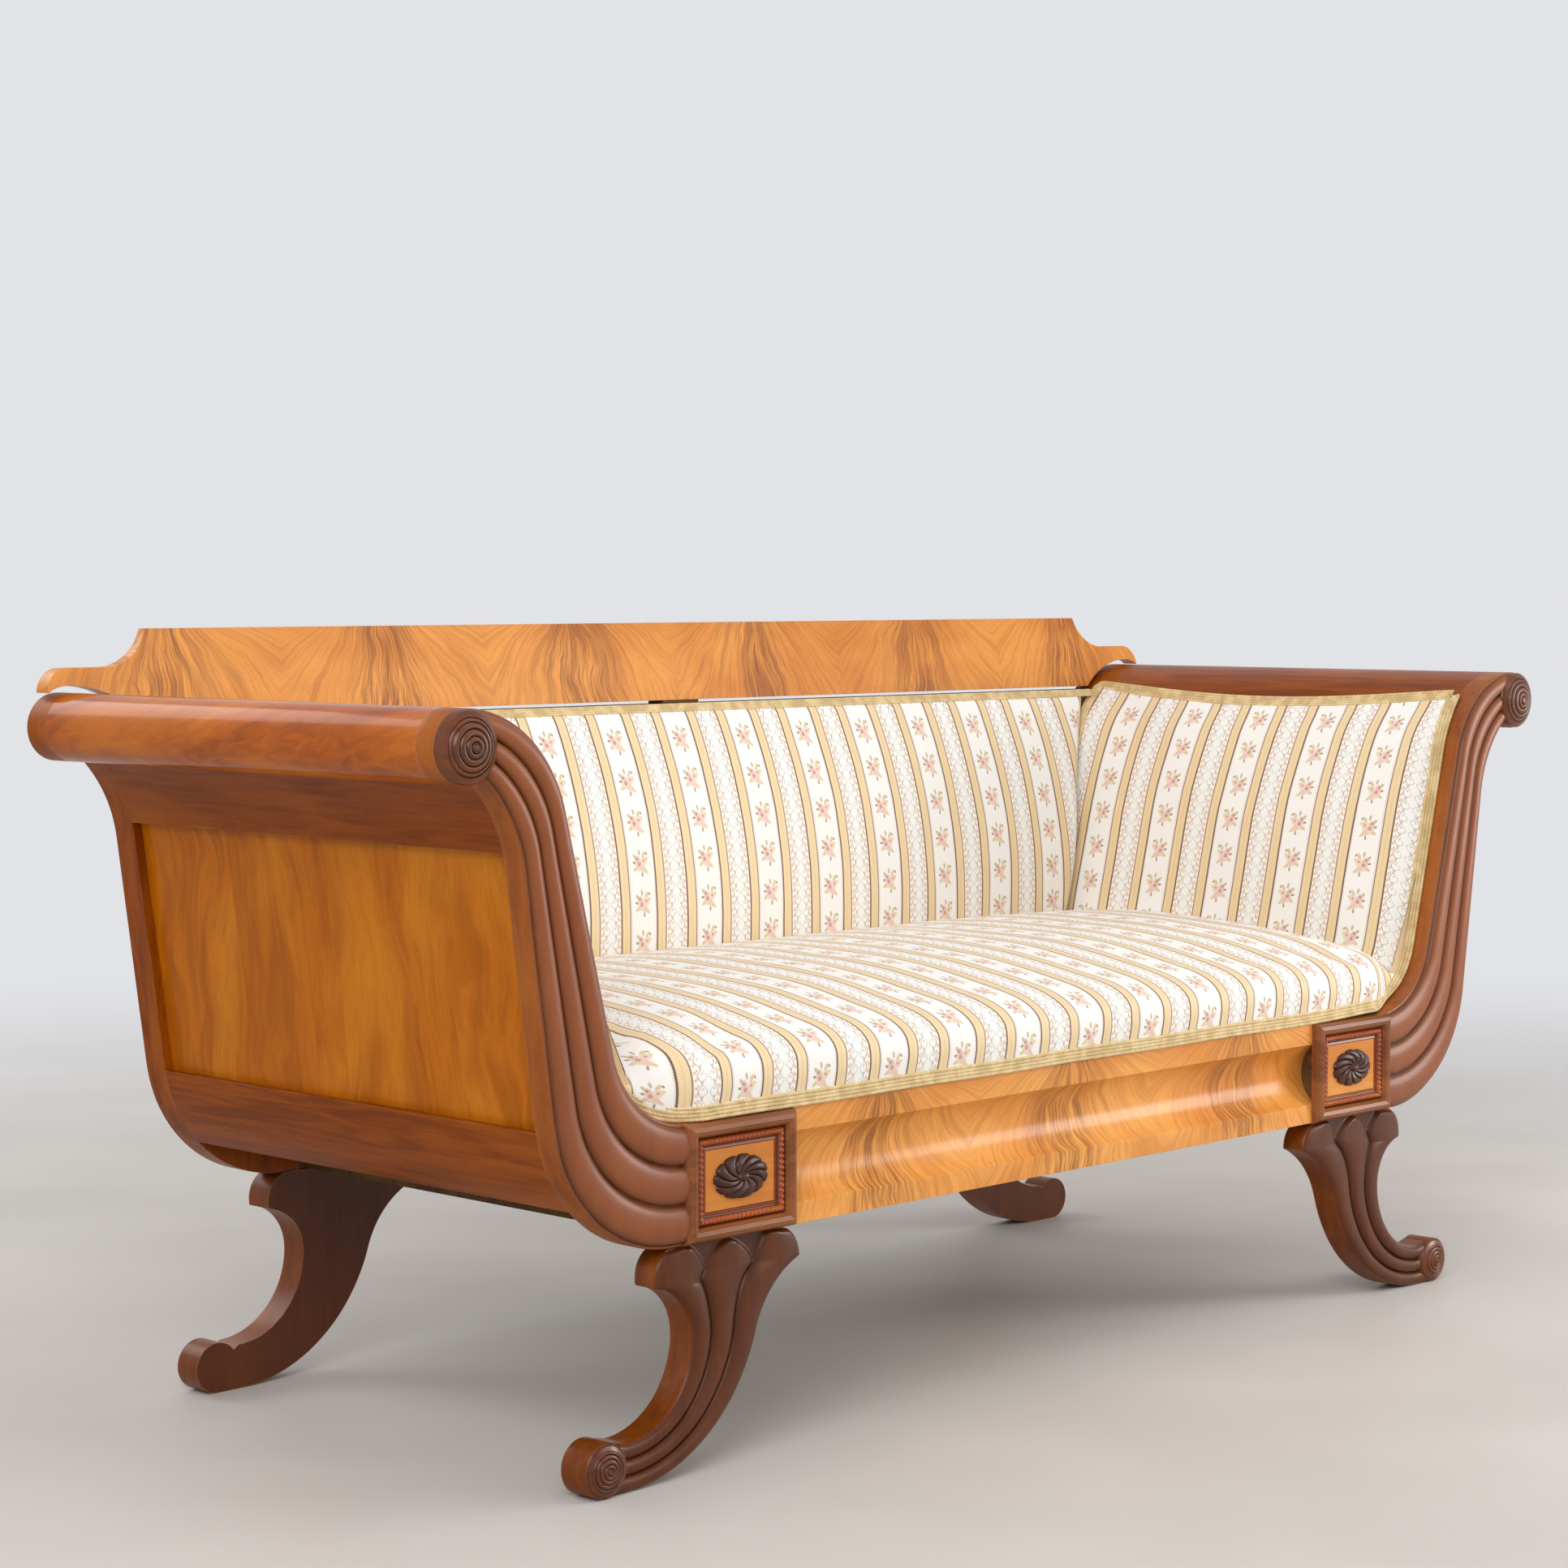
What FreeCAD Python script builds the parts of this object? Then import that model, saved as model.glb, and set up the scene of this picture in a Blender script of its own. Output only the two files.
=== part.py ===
import FreeCAD, Part
import math
import os

from FreeCAD import Vector

# Driving dimensions in millimetres. The floor is z = 0, +X is the viewer's right, the front faces -Y.

# Arm roll: both sweeps of the stiles spring from it; its height is over the tops of the feet
ROLL_X = 961.0
ROLL_RISE = 545.0
ROLL_R = 39.0
ROLL_STUB_W = 18.0
ROLL_STUB_L = 22.0

# Planes and boards of the frame
FACE_Y = -346.0
BODY_DEPTH = 714.0
FRONT_BOARD_T = 28.0
REAR_BOARD_T = 36.0
RAIL_BACKSET = 2.0

# Seat frame
FOOT_H = 252.0
RAIL_H = 131.0
FRONT_RAIL_T = 46.0
SIDE_RAIL_T = 30.0
SIDE_RAIL_OUT_X = 637.0
COVE_TOP = 27.0
COVE_BOTTOM = 24.0
COVE_DEPTH = 24.0
BEARER_X = 230.0
BEARER_W = 40.0
BEARER_H = 45.0
BEARER_DROP = 30.0
GLUE_BLOCK_LEG = 55.0
GLUE_BLOCK_H = 80.0

# Corner block and its applied ornament
STILE_X = 649.0
CORE_W = 149.0
FRAME_LAP = 10.0
FRAME_W = 18.0
FRAME_T = 13.0
FRAME_FLATS = 6
RIPPLE_W = 14.0
RIPPLE_T = 8.0
PANEL_T = 3.0
FLOWER_SIZE = (82.0, 49.0)
FLOWER_T = 8.0
FLOWER_PETALS = 12
FLOWER_LOBE = 2.5
FLOWER_FLATS = 4
FLOWER_BOSS_R = 7.0
FLOWER_BOSS_H = 3.0

# Sweeps of the stiles: radii of the lower and upper arcs, inner and outer edge
IN_LOW_R = 112.0
IN_TOP_R = 140.0
OUT_LOW_X = 675.0
OUT_LOW_R = 170.0
OUT_TOP_R = 160.0
OUT_TOP_DX = 78.6
OUT_TOP_DZ = -153.2
OUT_END = math.radians(36.0)

# Reeds on the stiles and feet
REEDS = 3
REED_RISE = 8.0
REED_GROOVE = 1.0
REED_SINK = 1.0
REED_EDGE = 3.0
REED_SLIM = 0.42
REED_FLATS = 3
REED_STEPS = 5

# Ringed rosettes on the rolls and feet
ROSETTE_RIM = 1.0
ROSETTE_BASE = 9.0
ROSETTE_DOME = 13.0
ROSETTE_GROOVE = 3.0
ROSETTE_BOSS = 0.11
ROSETTE_RINGS = 3
ROSETTE_RING_END = 0.76
GROOVE_SHARE = 0.3
CREST_SHARE = 0.75
FOOT_ROSETTE_RINGS = 2
FOOT_ROSETTE_RIM = 2.0
FOOT_ROSETTE_DOME = 8.0

# Arm ends
END_RAIL_T = 28.0
END_RAIL_H = 89.0
END_TOP_DROP = 23.0
END_BOTTOM_RISE = 51.0
PANEL_SET = 12.0
END_PANEL_T = 8.0
PANEL_TONGUE = 8.0
CAP_T = 34.0
CAP_DROP = 25.0
TACK_RISE = 17.0
TACK_H = 32.0
TACK_T = 24.0

# Joints
TENON_L = 26.0
TENON_T = 12.0
TENON_SHOULDER = 28.0
RAIL_TENON_SHOULDER = 14.0
FOOT_STUB_W = 26.0
FOOT_STUB_L = 40.0
CREST_STUB_W = 11.0
CREST_STUB_L = 22.0

# Crest and back frame
CREST_RISE = 43.85
CREST_SLIT = 5.0
CREST_LOW_T = 31.0
CREST_TOP_T = 10.0
CREST_GAP = 8.0
CREST_TIP = math.radians(56.4)
CREST_NOSE_R = 28.0
CREST_SHOULDER_IN = 56.0
CREST_SCOOP_TURN = math.radians(74.3)
CREST_STUB_IN = 68.0
MUNTIN_W = 66.0
MUNTIN_T = 28.0
BACK_RAIL_T = 22.0
BACK_RAIL_LIFT = 2.0
BACK_RAIL_H = 48.0
BACK_LOW_RAIL_RISE = 12.0
BACK_LOW_RAIL_H = 30.0

# Feet: outline of a swept scroll foot
FOOT_T = 38.0
FOOT_SET = 4.0
FOOT_TOP_IN = 508.0
FOOT_TOP_OUT = 672.0
FOOT_NECK_X = 645.0
FOOT_NECK_Z = 151.0
FOOT_HIP_R = 60.0
FOOT_HIP_END = math.radians(98.0)
FOOT_CALF_R = 98.0
FOOT_SOLE_X = 742.0
FOOT_SOLE_R = 207.0
FOOT_SOLE_END = math.radians(198.0)
FOOT_SHIN_R = 116.0
FOOT_SHIN_END = math.radians(70.0)
FOOT_LOBE = 0.2
FOOT_STEPS = 4
SCROLL_X = 774.0
SCROLL_R = 30.0
PETAL_TOP = 2.0
PETAL_DIP = 30.0

# Stuffing: webbing, cloth, pads and gimp
WEB_W = 50.0
WEB_T = 1.5
SEAT_WEBS = 11
SEAT_WEB_ROWS = 5
BACK_WEBS = 5
WEB_SHARE = 0.7
CLOTH_T = 1.5
LINING_T = 3.0
LINING_RISE = 11.0
PAD_GAP = 1.0
SEAT_CROWN_H = 114.0
SEAT_EDGE_H = 15.0
SEAT_NOSE_H = 75.0
SEAT_NOSE = 20.0
SEAT_BULGE = 7.0
SEAT_BACK_H = 95.0
SEAT_CORNER_IN = 62.0
SEAT_CORNER_DROP = 30.0
SEAT_END_LOW_X = 690.0
SEAT_END_LEAN = 0.45
SEAT_CROWN_IN = 306.0
SEAT_TUCKS = ((1.0, 1.0), (0.92, 0.85), (0.84, 0.45), (0.7, 0.08), (0.35, 0.0))
BACK_PAD_LOW_T = 117.0
BACK_PAD_TOP_T = 46.0
BACK_PAD_BEND_H = 124.0
BACK_PAD_LIFT = 1.0
BACK_PAD_CROWN = 12.0
BACK_PAD_STEPS = 6
ARM_PAD_T = 30.0
ARM_PAD_EDGE = 8.0
ARM_PAD_FULL_H = 237.0
ARM_PAD_THIN = 0.9
ARM_PAD_START = math.radians(38.0)
ARM_PAD_END = math.radians(46.0)
ARM_PAD_STEPS = 3
GIMP_W = 14.0
GIMP_T = 4.0

# Sizes that follow from the ones above
BACK_Y = FACE_Y + BODY_DEPTH
FRONT_IN = FACE_Y + FRONT_BOARD_T
REAR_IN = BACK_Y - REAR_BOARD_T
RAIL_TOP = FOOT_H + RAIL_H
RAIL_BACK = BACK_Y - RAIL_BACKSET
ROLL_Z = FOOT_H + ROLL_RISE
END_TOP_HIGH = ROLL_Z - END_TOP_DROP
END_TOP_LOW = END_TOP_HIGH - END_RAIL_H
END_BOTTOM_LOW = FOOT_H + END_BOTTOM_RISE
END_BOTTOM_HIGH = END_BOTTOM_LOW + END_RAIL_H
CAP_LOW = ROLL_Z - CAP_DROP
TACK_LOW = RAIL_TOP + TACK_RISE
LINING_LOW = RAIL_TOP + LINING_RISE
BACK_PAD_TOP = ROLL_Z + BACK_PAD_LIFT
BACK_PAD_BEND_Z = RAIL_TOP + BACK_PAD_BEND_H
BACK_RAIL_TOP = BACK_PAD_TOP + BACK_RAIL_LIFT
BACK_LOW_RAIL_Z = RAIL_TOP + BACK_LOW_RAIL_RISE
CREST_LOW = BACK_RAIL_TOP + CREST_SLIT
CREST_FRONT_LOW = BACK_Y - CREST_LOW_T
CREST_FRONT_TOP = BACK_Y - CREST_TOP_T
BACK_PAD_LOW_Y = BACK_Y - BACK_PAD_LOW_T
BACK_PAD_TOP_Y = BACK_Y - BACK_PAD_TOP_T
SEAT_CROWN_Y = FACE_Y + SEAT_CROWN_IN
SEAT_CROWN = RAIL_TOP + SEAT_CROWN_H
SEAT_EDGE_Z = RAIL_TOP + SEAT_EDGE_H
SEAT_NOSE_Z = RAIL_TOP + SEAT_NOSE_H
SEAT_BACK_Z = RAIL_TOP + SEAT_BACK_H
ARM_PAD_FULL_Z = RAIL_TOP + ARM_PAD_FULL_H
CORE_X = STILE_X - CORE_W
CORE_MID = STILE_X - CORE_W / 2
CORE_Z = FOOT_H + RAIL_H / 2
FRAME_SIZE = (CORE_W + 2 * FRAME_LAP, RAIL_H)
RIPPLE_SIZE = (FRAME_SIZE[0] - 2 * FRAME_W, FRAME_SIZE[1] - 2 * FRAME_W)
FRONT_RAIL_IN = FACE_Y + FRONT_RAIL_T
SIDE_RAIL_IN_X = SIDE_RAIL_OUT_X - SIDE_RAIL_T
HEAD = (ROLL_X, ROLL_Z)
FOOT_Y = FACE_Y - FOOT_SET
REAR_FOOT_Y = BACK_Y - FOOT_T
REED_DEEP = REED_RISE + REED_GROOVE
WEB_TOP = RAIL_TOP + 2 * WEB_T
SEAT_LOW = WEB_TOP + CLOTH_T
BACK_RAIL_Y = RAIL_BACK - MUNTIN_T
BACK_CLOTH_Y = BACK_RAIL_Y - WEB_T - CLOTH_T
SEAT_BACK_Y = BACK_PAD_LOW_Y - PAD_GAP


def at(point, y):
    return Vector(point[0], y, point[1])


def line(start, end, y):
    return Part.LineSegment(at(start, y), at(end, y)).toShape()


def arc(start, middle, end, y):
    return Part.Arc(at(start, y), at(middle, y), at(end, y)).toShape()


def bowed(start, end, bow, y):
    """An arc from start to end that bows to the left of its chord by a share of the chord."""
    run = end[0] - start[0]
    rise = end[1] - start[1]
    middle = ((start[0] + end[0]) / 2 - bow * rise, (start[1] + end[1]) / 2 + bow * run)
    return arc(start, middle, end, y)


def polar(centre, radius, angle):
    return (centre[0] + radius * math.cos(angle), centre[1] + radius * math.sin(angle))


def prism(edges, depth):
    """A closed outline in an XZ plane, pushed back along +Y."""
    return Part.Face(Part.Wire(edges)).extrude(Vector(0, depth, 0))


def slab(x0, x1, y0, y1, z0, z1):
    return Part.makeBox(x1 - x0, y1 - y0, z1 - z0, Vector(x0, y0, z0))


def rod(centre, radius, y0, y1):
    return Part.makeCylinder(radius, y1 - y0, at(centre, y0), Vector(0, 1, 0))


def mirrored(shape):
    return shape.mirror(Vector(0, 0, 0), Vector(1, 0, 0))


def both_halves(half):
    return half.fuse(mirrored(half)).removeSplitter()


def save(name, *solids):
    shape = solids[0] if len(solids) == 1 else Part.makeCompound(list(solids))
    shape.exportStep("parts/" + name + ".step")


def save_set(name, *solids):
    """Small ornaments that are alike on the left and on the right share a node."""
    save(name, *solids, *[mirrored(s) for s in solids])


def save_pair(name, *solids):
    save(name + "_right", *solids)
    save(name + "_left", *[mirrored(s) for s in solids])


class Sweep:
    """An S in an XZ plane: an arc round a lower centre, its tangent, and an arc over an upper centre."""

    def __init__(self, low, low_r, top, top_r, end=0.0):
        self.low = low
        self.low_r = low_r
        self.top = top
        self.top_r = top_r
        self.end = end
        run = top[0] - low[0]
        rise = top[1] - low[1]
        self.slope = math.atan2(rise, run) + math.asin((low_r + top_r) / math.hypot(run, rise))

    def shift(self, inward):
        """The same S moved square to itself, towards the sitter."""
        return Sweep(self.low, self.low_r - inward, self.top, self.top_r + inward, self.end)

    def on_low(self, heading):
        return polar(self.low, self.low_r, heading - math.pi / 2)

    def on_top(self, heading):
        return polar(self.top, self.top_r, heading + math.pi / 2)

    def first(self):
        return self.on_low(0.0)

    def last(self):
        return self.on_top(self.end)

    def edges(self, y):
        foot = self.on_low(self.slope)
        head = self.on_top(self.slope)
        lower = arc(self.first(), self.on_low(self.slope / 2), foot, y)
        upper = arc(head, self.on_top((self.slope + self.end) / 2), self.last(), y)
        return [lower, line(foot, head, y), upper]

    def stations(self, steps, start, end):
        """Points along the S between two headings, matched step for step with those of another S."""
        foot = self.on_low(self.slope)
        head = self.on_top(self.slope)
        points = [self.on_low(start + (self.slope - start) * k / steps) for k in range(steps)]
        points += [foot, ((foot[0] + head[0]) / 2, (foot[1] + head[1]) / 2)]
        turn = end - self.slope
        return points + [self.on_top(self.slope + turn * k / steps) for k in range(steps + 1)]

    def x_at(self, z):
        foot = self.on_low(self.slope)
        head = self.on_top(self.slope)
        if z < foot[1]:
            return self.low[0] + math.sqrt(self.low_r ** 2 - (self.low[1] - z) ** 2)
        if z < head[1]:
            return foot[0] + (z - foot[1]) * (head[0] - foot[0]) / (head[1] - foot[1])
        return self.top[0] - math.sqrt(self.top_r ** 2 - (z - self.top[1]) ** 2)


INNER = Sweep((STILE_X, RAIL_TOP + IN_LOW_R), IN_LOW_R,
              (ROLL_X, ROLL_Z + ROLL_R - IN_TOP_R), IN_TOP_R)
OUTER = Sweep((OUT_LOW_X, FOOT_H + OUT_LOW_R), OUT_LOW_R,
              (ROLL_X + OUT_TOP_DX, ROLL_Z + OUT_TOP_DZ), OUT_TOP_R, OUT_END)


def band(curve, near, far, y0, y1, z0, z1):
    """A length of board between two shifts of one S, cut off level at two heights."""
    a = curve.shift(near)
    b = curve.shift(far)
    outline = a.edges(y0) + [line(a.last(), b.last(), y0)]
    outline += b.edges(y0)[::-1] + [line(b.first(), a.first(), y0)]
    return prism(outline, y1 - y0).common(slab(0, 2 * ROLL_X, y0, y1, z0, z1))


def between_arms(gap, y0, y1, z0, z1):
    """A board that fills the space between the inner edges of the two arms."""
    side = INNER.shift(gap)
    corner = (0.0, side.last()[1])
    outline = side.edges(y0) + [line(side.last(), corner, y0)]
    outline += [line(corner, (0.0, side.first()[1]), y0), line((0.0, side.first()[1]), side.first(), y0)]
    return both_halves(prism(outline, y1 - y0).common(slab(0, ROLL_X, y0, y1, z0, z1)))


def reed_section(out, inn, root, rise):
    """One cross section of a run of reeds: a flat back and a row of rounded ridges in small flats."""
    run = inn[0] - out[0]
    climb = inn[1] - out[1]
    width = math.hypot(run, climb)
    margin = REED_EDGE / width

    def on(share):
        reach = margin + share * (1 - 2 * margin)
        return (out[0] + reach * run, out[1] + reach * climb)

    height = min(rise, REED_SLIM * (width - 2 * REED_EDGE) / REEDS)
    groove = root - REED_GROOVE
    back = root + REED_SINK
    points = [at(on(0), back), at(on(0), groove)]
    for k in range(REEDS):
        for j in range(1, REED_FLATS + 1):
            bow = math.sin(math.pi * j / REED_FLATS)
            points.append(at(on((k + j / REED_FLATS) / REEDS), groove - height * bow))
    points += [at(on(1), back), at(on(0), back)]
    return Part.makePolygon(points)


def stile_board(y, depth):
    """The plain S board with its round head."""
    corner = (STILE_X, FOOT_H)
    outline = [line(corner, OUTER.first(), y)] + OUTER.edges(y)
    outline += [line(OUTER.last(), HEAD, y), line(HEAD, INNER.last(), y)]
    outline += INNER.edges(y)[::-1] + [line(INNER.first(), corner, y)]
    board = prism(outline, depth)
    return board.fuse(rod(HEAD, ROLL_R, y, y + depth)).removeSplitter()


def stile_tenon(y):
    z0 = FOOT_H + TENON_SHOULDER
    z1 = RAIL_TOP - TENON_SHOULDER
    return slab(STILE_X - TENON_L, STILE_X, y - TENON_T / 2, y + TENON_T / 2, z0, z1)


def end_tenons(low, high):
    """The tenons of an arm-end rail, running right through from stile to stile."""
    cheek = (END_RAIL_T - TENON_T) / 2
    return band(OUTER, cheek, cheek + TENON_T, FRONT_IN - TENON_L / 2, REAR_IN + TENON_L / 2,
                low + RAIL_TENON_SHOULDER, high - RAIL_TENON_SHOULDER)


FRONT_TENON_Y = (FACE_Y + FRONT_IN) / 2
REAR_TENON_Y = (REAR_IN + RAIL_BACK) / 2
ROLL_STUB = slab(ROLL_X - ROLL_STUB_W / 2, ROLL_X + ROLL_STUB_W / 2,
                 FRONT_IN - ROLL_STUB_L, REAR_IN + ROLL_STUB_L,
                 ROLL_Z - ROLL_STUB_W / 2, ROLL_Z + ROLL_STUB_W / 2)
ROLL_BODY = rod(HEAD, ROLL_R, FRONT_IN, REAR_IN)
END_PANEL = band(OUTER, PANEL_SET, PANEL_SET + END_PANEL_T, FRONT_IN - PANEL_TONGUE, REAR_IN + PANEL_TONGUE,
                 END_BOTTOM_HIGH - PANEL_TONGUE, END_TOP_LOW + PANEL_TONGUE)
TOP_TENONS = end_tenons(END_TOP_LOW, END_TOP_HIGH)
BOTTOM_TENONS = end_tenons(END_BOTTOM_LOW, END_BOTTOM_HIGH)


def cut_arm_joints(stile):
    for tool in (ROLL_STUB, END_PANEL, TOP_TENONS, BOTTOM_TENONS):
        stile = stile.cut(tool)
    return stile


def front_stile():
    """The reeded stile: its reeds leave the corner block, follow the S and end on the round head."""
    outer = [(STILE_X + FRAME_LAP, FOOT_H)] + OUTER.stations(REED_STEPS, 0.0, OUT_END)[1:]
    inner = [(STILE_X + FRAME_LAP, RAIL_TOP)] + INNER.stations(REED_STEPS, 0.0, 0.0)[1:]
    sections = [reed_section(o, i, FACE_Y, REED_RISE) for o, i in zip(outer, inner)]
    reeds = Part.makeLoft(sections, True, True)
    reeds = reeds.cut(rod(HEAD, ROLL_R, FACE_Y - REED_DEEP * 2, FACE_Y + REED_SINK * 2))
    board = stile_board(FACE_Y, FRONT_BOARD_T).fuse(stile_tenon(FRONT_TENON_Y))
    return cut_arm_joints(board).fuse(reeds)


def rear_stile():
    board = stile_board(REAR_IN, REAR_BOARD_T).fuse(stile_tenon(REAR_TENON_Y))
    return cut_arm_joints(board).fuse(crest_stub())


def rosette(centre, radius, rings, base, dome, y):
    """A turned boss ringed with V grooves; its front is domed and faces -Y."""
    def crown(r):
        return dome * (1 - (r / radius) ** 2)

    boss = ROSETTE_BOSS * radius
    pitch = (ROSETTE_RING_END * radius - boss) / rings
    profile = [(0.0, 0.0), (0.0, base + dome), (boss, base + crown(boss))]
    for k in range(rings):
        groove = boss + (k + GROOVE_SHARE) * pitch
        crest = boss + (k + CREST_SHARE) * pitch
        profile.append((groove, base + crown(groove) - ROSETTE_GROOVE))
        profile.append((crest, base + crown(crest)))
    last = ROSETTE_RING_END * radius
    profile += [(last, base + crown(last) - ROSETTE_GROOVE), (radius, base), (radius, 0.0), (0.0, 0.0)]
    wire = Part.makePolygon([Vector(centre[0] + r, y - h, centre[1]) for r, h in profile])
    return Part.Face(wire).revolve(at(centre, y), Vector(0, 1, 0), 360)


def corners(size):
    """The corners of an upright rectangle round the middle of the corner block."""
    half_w = size[0] / 2
    half_h = size[1] / 2
    signs = ((-1, -1), (1, -1), (1, 1), (-1, 1))
    return [(CORE_MID + a * half_w, CORE_Z + b * half_h) for a, b in signs]


def mitred_frame(size, strip, thick, y):
    """Four half-round strips round the corner block's middle, mitred at the corners."""
    outer = corners(size)
    inner = corners((size[0] - 2 * strip, size[1] - 2 * strip))
    strips = []
    for k in range(4):
        ring = [outer[k], outer[(k + 1) % 4], inner[(k + 1) % 4], inner[k]]
        front = y - thick
        plan = prism([line(ring[j], ring[(j + 1) % 4], front) for j in range(4)], thick)
        start = at(outer[k], y)
        along = at(outer[(k + 1) % 4], y) - start
        across = at(inner[k], y) - start
        square = across - along * (across.dot(along) / along.Length ** 2)
        section = []
        for j in range(FRAME_FLATS + 1):
            turn = math.pi * j / FRAME_FLATS
            inset = square * ((1 - math.cos(turn)) / 2)
            section.append(start + inset + Vector(0, -thick * math.sin(turn), 0))
        section.append(start)
        strips.append(Part.Face(Part.makePolygon(section)).extrude(along).common(plan))
    return strips


def flower(y):
    """An oval of scalloped petals with a boss; each petal's rim is a few flats."""
    half_w = FLOWER_SIZE[0] / 2 - FLOWER_LOBE
    half_h = FLOWER_SIZE[1] / 2 - FLOWER_LOBE
    count = int(FLOWER_PETALS) * FLOWER_FLATS
    rim = []
    for k in range(count + 1):
        angle = 2 * math.pi * k / count
        reach = FLOWER_LOBE * math.sin(math.pi * (k % FLOWER_FLATS) / FLOWER_FLATS)
        x = CORE_MID + (half_w + reach) * math.cos(angle)
        rim.append((x, CORE_Z + (half_h + reach) * math.sin(angle)))
    front = y - FLOWER_T
    petals = Part.Face(Part.makePolygon([at(p, front) for p in rim])).extrude(Vector(0, FLOWER_T, 0))
    return petals.fuse(rod((CORE_MID, CORE_Z), FLOWER_BOSS_R, front - FLOWER_BOSS_H, front))


def foot_stub(y):
    half = FOOT_STUB_W / 2
    return slab(CORE_MID - half, CORE_MID + half, y - half, y + half, FOOT_H, FOOT_H + FOOT_STUB_L)


FOOT_HIP = (FOOT_NECK_X + FOOT_HIP_R, FOOT_NECK_Z)
FOOT_CALF = (FOOT_NECK_X + FOOT_CALF_R, FOOT_NECK_Z)
FOOT_SOLE = (FOOT_SOLE_X, FOOT_SOLE_R)
FOOT_SHIN = polar(FOOT_SOLE, FOOT_SOLE_R + FOOT_SHIN_R, FOOT_SOLE_END)
FOOT_SCROLL = (SCROLL_X, SCROLL_R)
TIP_OUT = polar(FOOT_HIP, FOOT_HIP_R, FOOT_HIP_END)
TIP_IN = polar(FOOT_SHIN, FOOT_SHIN_R, FOOT_SHIN_END)


def foot_board(y, depth):
    """The swept outline of a foot, from its two lobes down to the flat under its scroll."""
    neck = (FOOT_NECK_X, FOOT_NECK_Z)
    instep = polar(FOOT_CALF, FOOT_CALF_R, math.pi * 1.5)
    shin_start = FOOT_SOLE_END - math.pi
    knee = polar(FOOT_SHIN, FOOT_SHIN_R, shin_start)
    sole = (FOOT_SOLE_X, 0.0)
    top_in = (FOOT_TOP_IN, FOOT_H)
    top_out = (FOOT_TOP_OUT, FOOT_H)
    outline = [
        line(top_in, top_out, y),
        bowed(top_out, TIP_OUT, FOOT_LOBE, y),
        arc(TIP_OUT, polar(FOOT_HIP, FOOT_HIP_R, (FOOT_HIP_END + math.pi) / 2), neck, y),
        arc(neck, polar(FOOT_CALF, FOOT_CALF_R, math.pi * 1.25), instep, y),
        line(instep, FOOT_SCROLL, y),
        line(FOOT_SCROLL, (SCROLL_X, 0.0), y),
        line((SCROLL_X, 0.0), sole, y),
        arc(sole, polar(FOOT_SOLE, FOOT_SOLE_R, (FOOT_SOLE_END + math.pi * 1.5) / 2), knee, y),
        arc(knee, polar(FOOT_SHIN, FOOT_SHIN_R, (shin_start + FOOT_SHIN_END) / 2), TIP_IN, y),
        bowed(TIP_IN, top_in, FOOT_LOBE, y),
    ]
    return prism(outline, depth).fuse(rod(FOOT_SCROLL, SCROLL_R, y, y + depth)).removeSplitter()


def foot_stations(steps):
    """Matched points down the two edges of the foot, from above its top to its scroll."""
    lift = FOOT_H + PETAL_DIP
    outer = [(FOOT_TOP_OUT, lift), TIP_OUT]
    inner = [(FOOT_TOP_IN, lift), TIP_IN]
    shin_start = FOOT_SOLE_END - math.pi
    for k in range(1, steps + 1):
        share = k / steps
        outer.append(polar(FOOT_HIP, FOOT_HIP_R, FOOT_HIP_END + share * (math.pi - FOOT_HIP_END)))
        inner.append(polar(FOOT_SHIN, FOOT_SHIN_R, FOOT_SHIN_END + share * (shin_start - FOOT_SHIN_END)))
    for k in range(1, steps + 1):
        share = k / steps
        outer.append(polar(FOOT_CALF, FOOT_CALF_R, math.pi * (1 + share / 2)))
        inner.append(polar(FOOT_SOLE, FOOT_SOLE_R, FOOT_SOLE_END + share * (math.pi * 1.5 - FOOT_SOLE_END)))
    outer.append((SCROLL_X, outer[-1][1]))
    inner.append((SCROLL_X, 0.0))
    return outer, inner


def petal_mask(y, depth):
    """Three arched leaf tops; the reeds below them stand clear of a sunk ground."""
    pitch = (TIP_OUT[0] - TIP_IN[0]) / REEDS
    dip = FOOT_H - PETAL_DIP
    outline = []
    for k in range(REEDS):
        start = (TIP_IN[0] + k * pitch, dip)
        end = (TIP_IN[0] + (k + 1) * pitch, dip)
        outline.append(arc(start, ((start[0] + end[0]) / 2, FOOT_H - PETAL_TOP), end, y))
    right = (TIP_OUT[0], dip)
    left = (TIP_IN[0], dip)
    far = SCROLL_X + 2 * SCROLL_R
    outline.append(line(right, (far, dip), y))
    outline.append(line((far, dip), (far, -SCROLL_R), y))
    outline.append(line((far, -SCROLL_R), (left[0], -SCROLL_R), y))
    outline.append(line((left[0], -SCROLL_R), left, y))
    return prism(outline, depth)


def front_foot():
    root = FOOT_Y + REED_DEEP
    board = foot_board(root, FOOT_T - REED_DEEP).fuse(foot_stub(FOOT_Y + FOOT_T / 2))
    outer, inner = foot_stations(FOOT_STEPS)
    reeds = Part.makeLoft([reed_section(o, i, root, REED_RISE) for o, i in zip(outer, inner)], True, True)
    reeds = reeds.common(petal_mask(FOOT_Y - REED_RISE, FOOT_T))
    scroll = rod(FOOT_SCROLL, SCROLL_R, FOOT_Y, root)
    return board.fuse(reeds.cut(scroll)).fuse(scroll).removeSplitter()


def rear_foot():
    return foot_board(REAR_FOOT_Y, FOOT_T).fuse(foot_stub(REAR_FOOT_Y + FOOT_T / 2))


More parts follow.
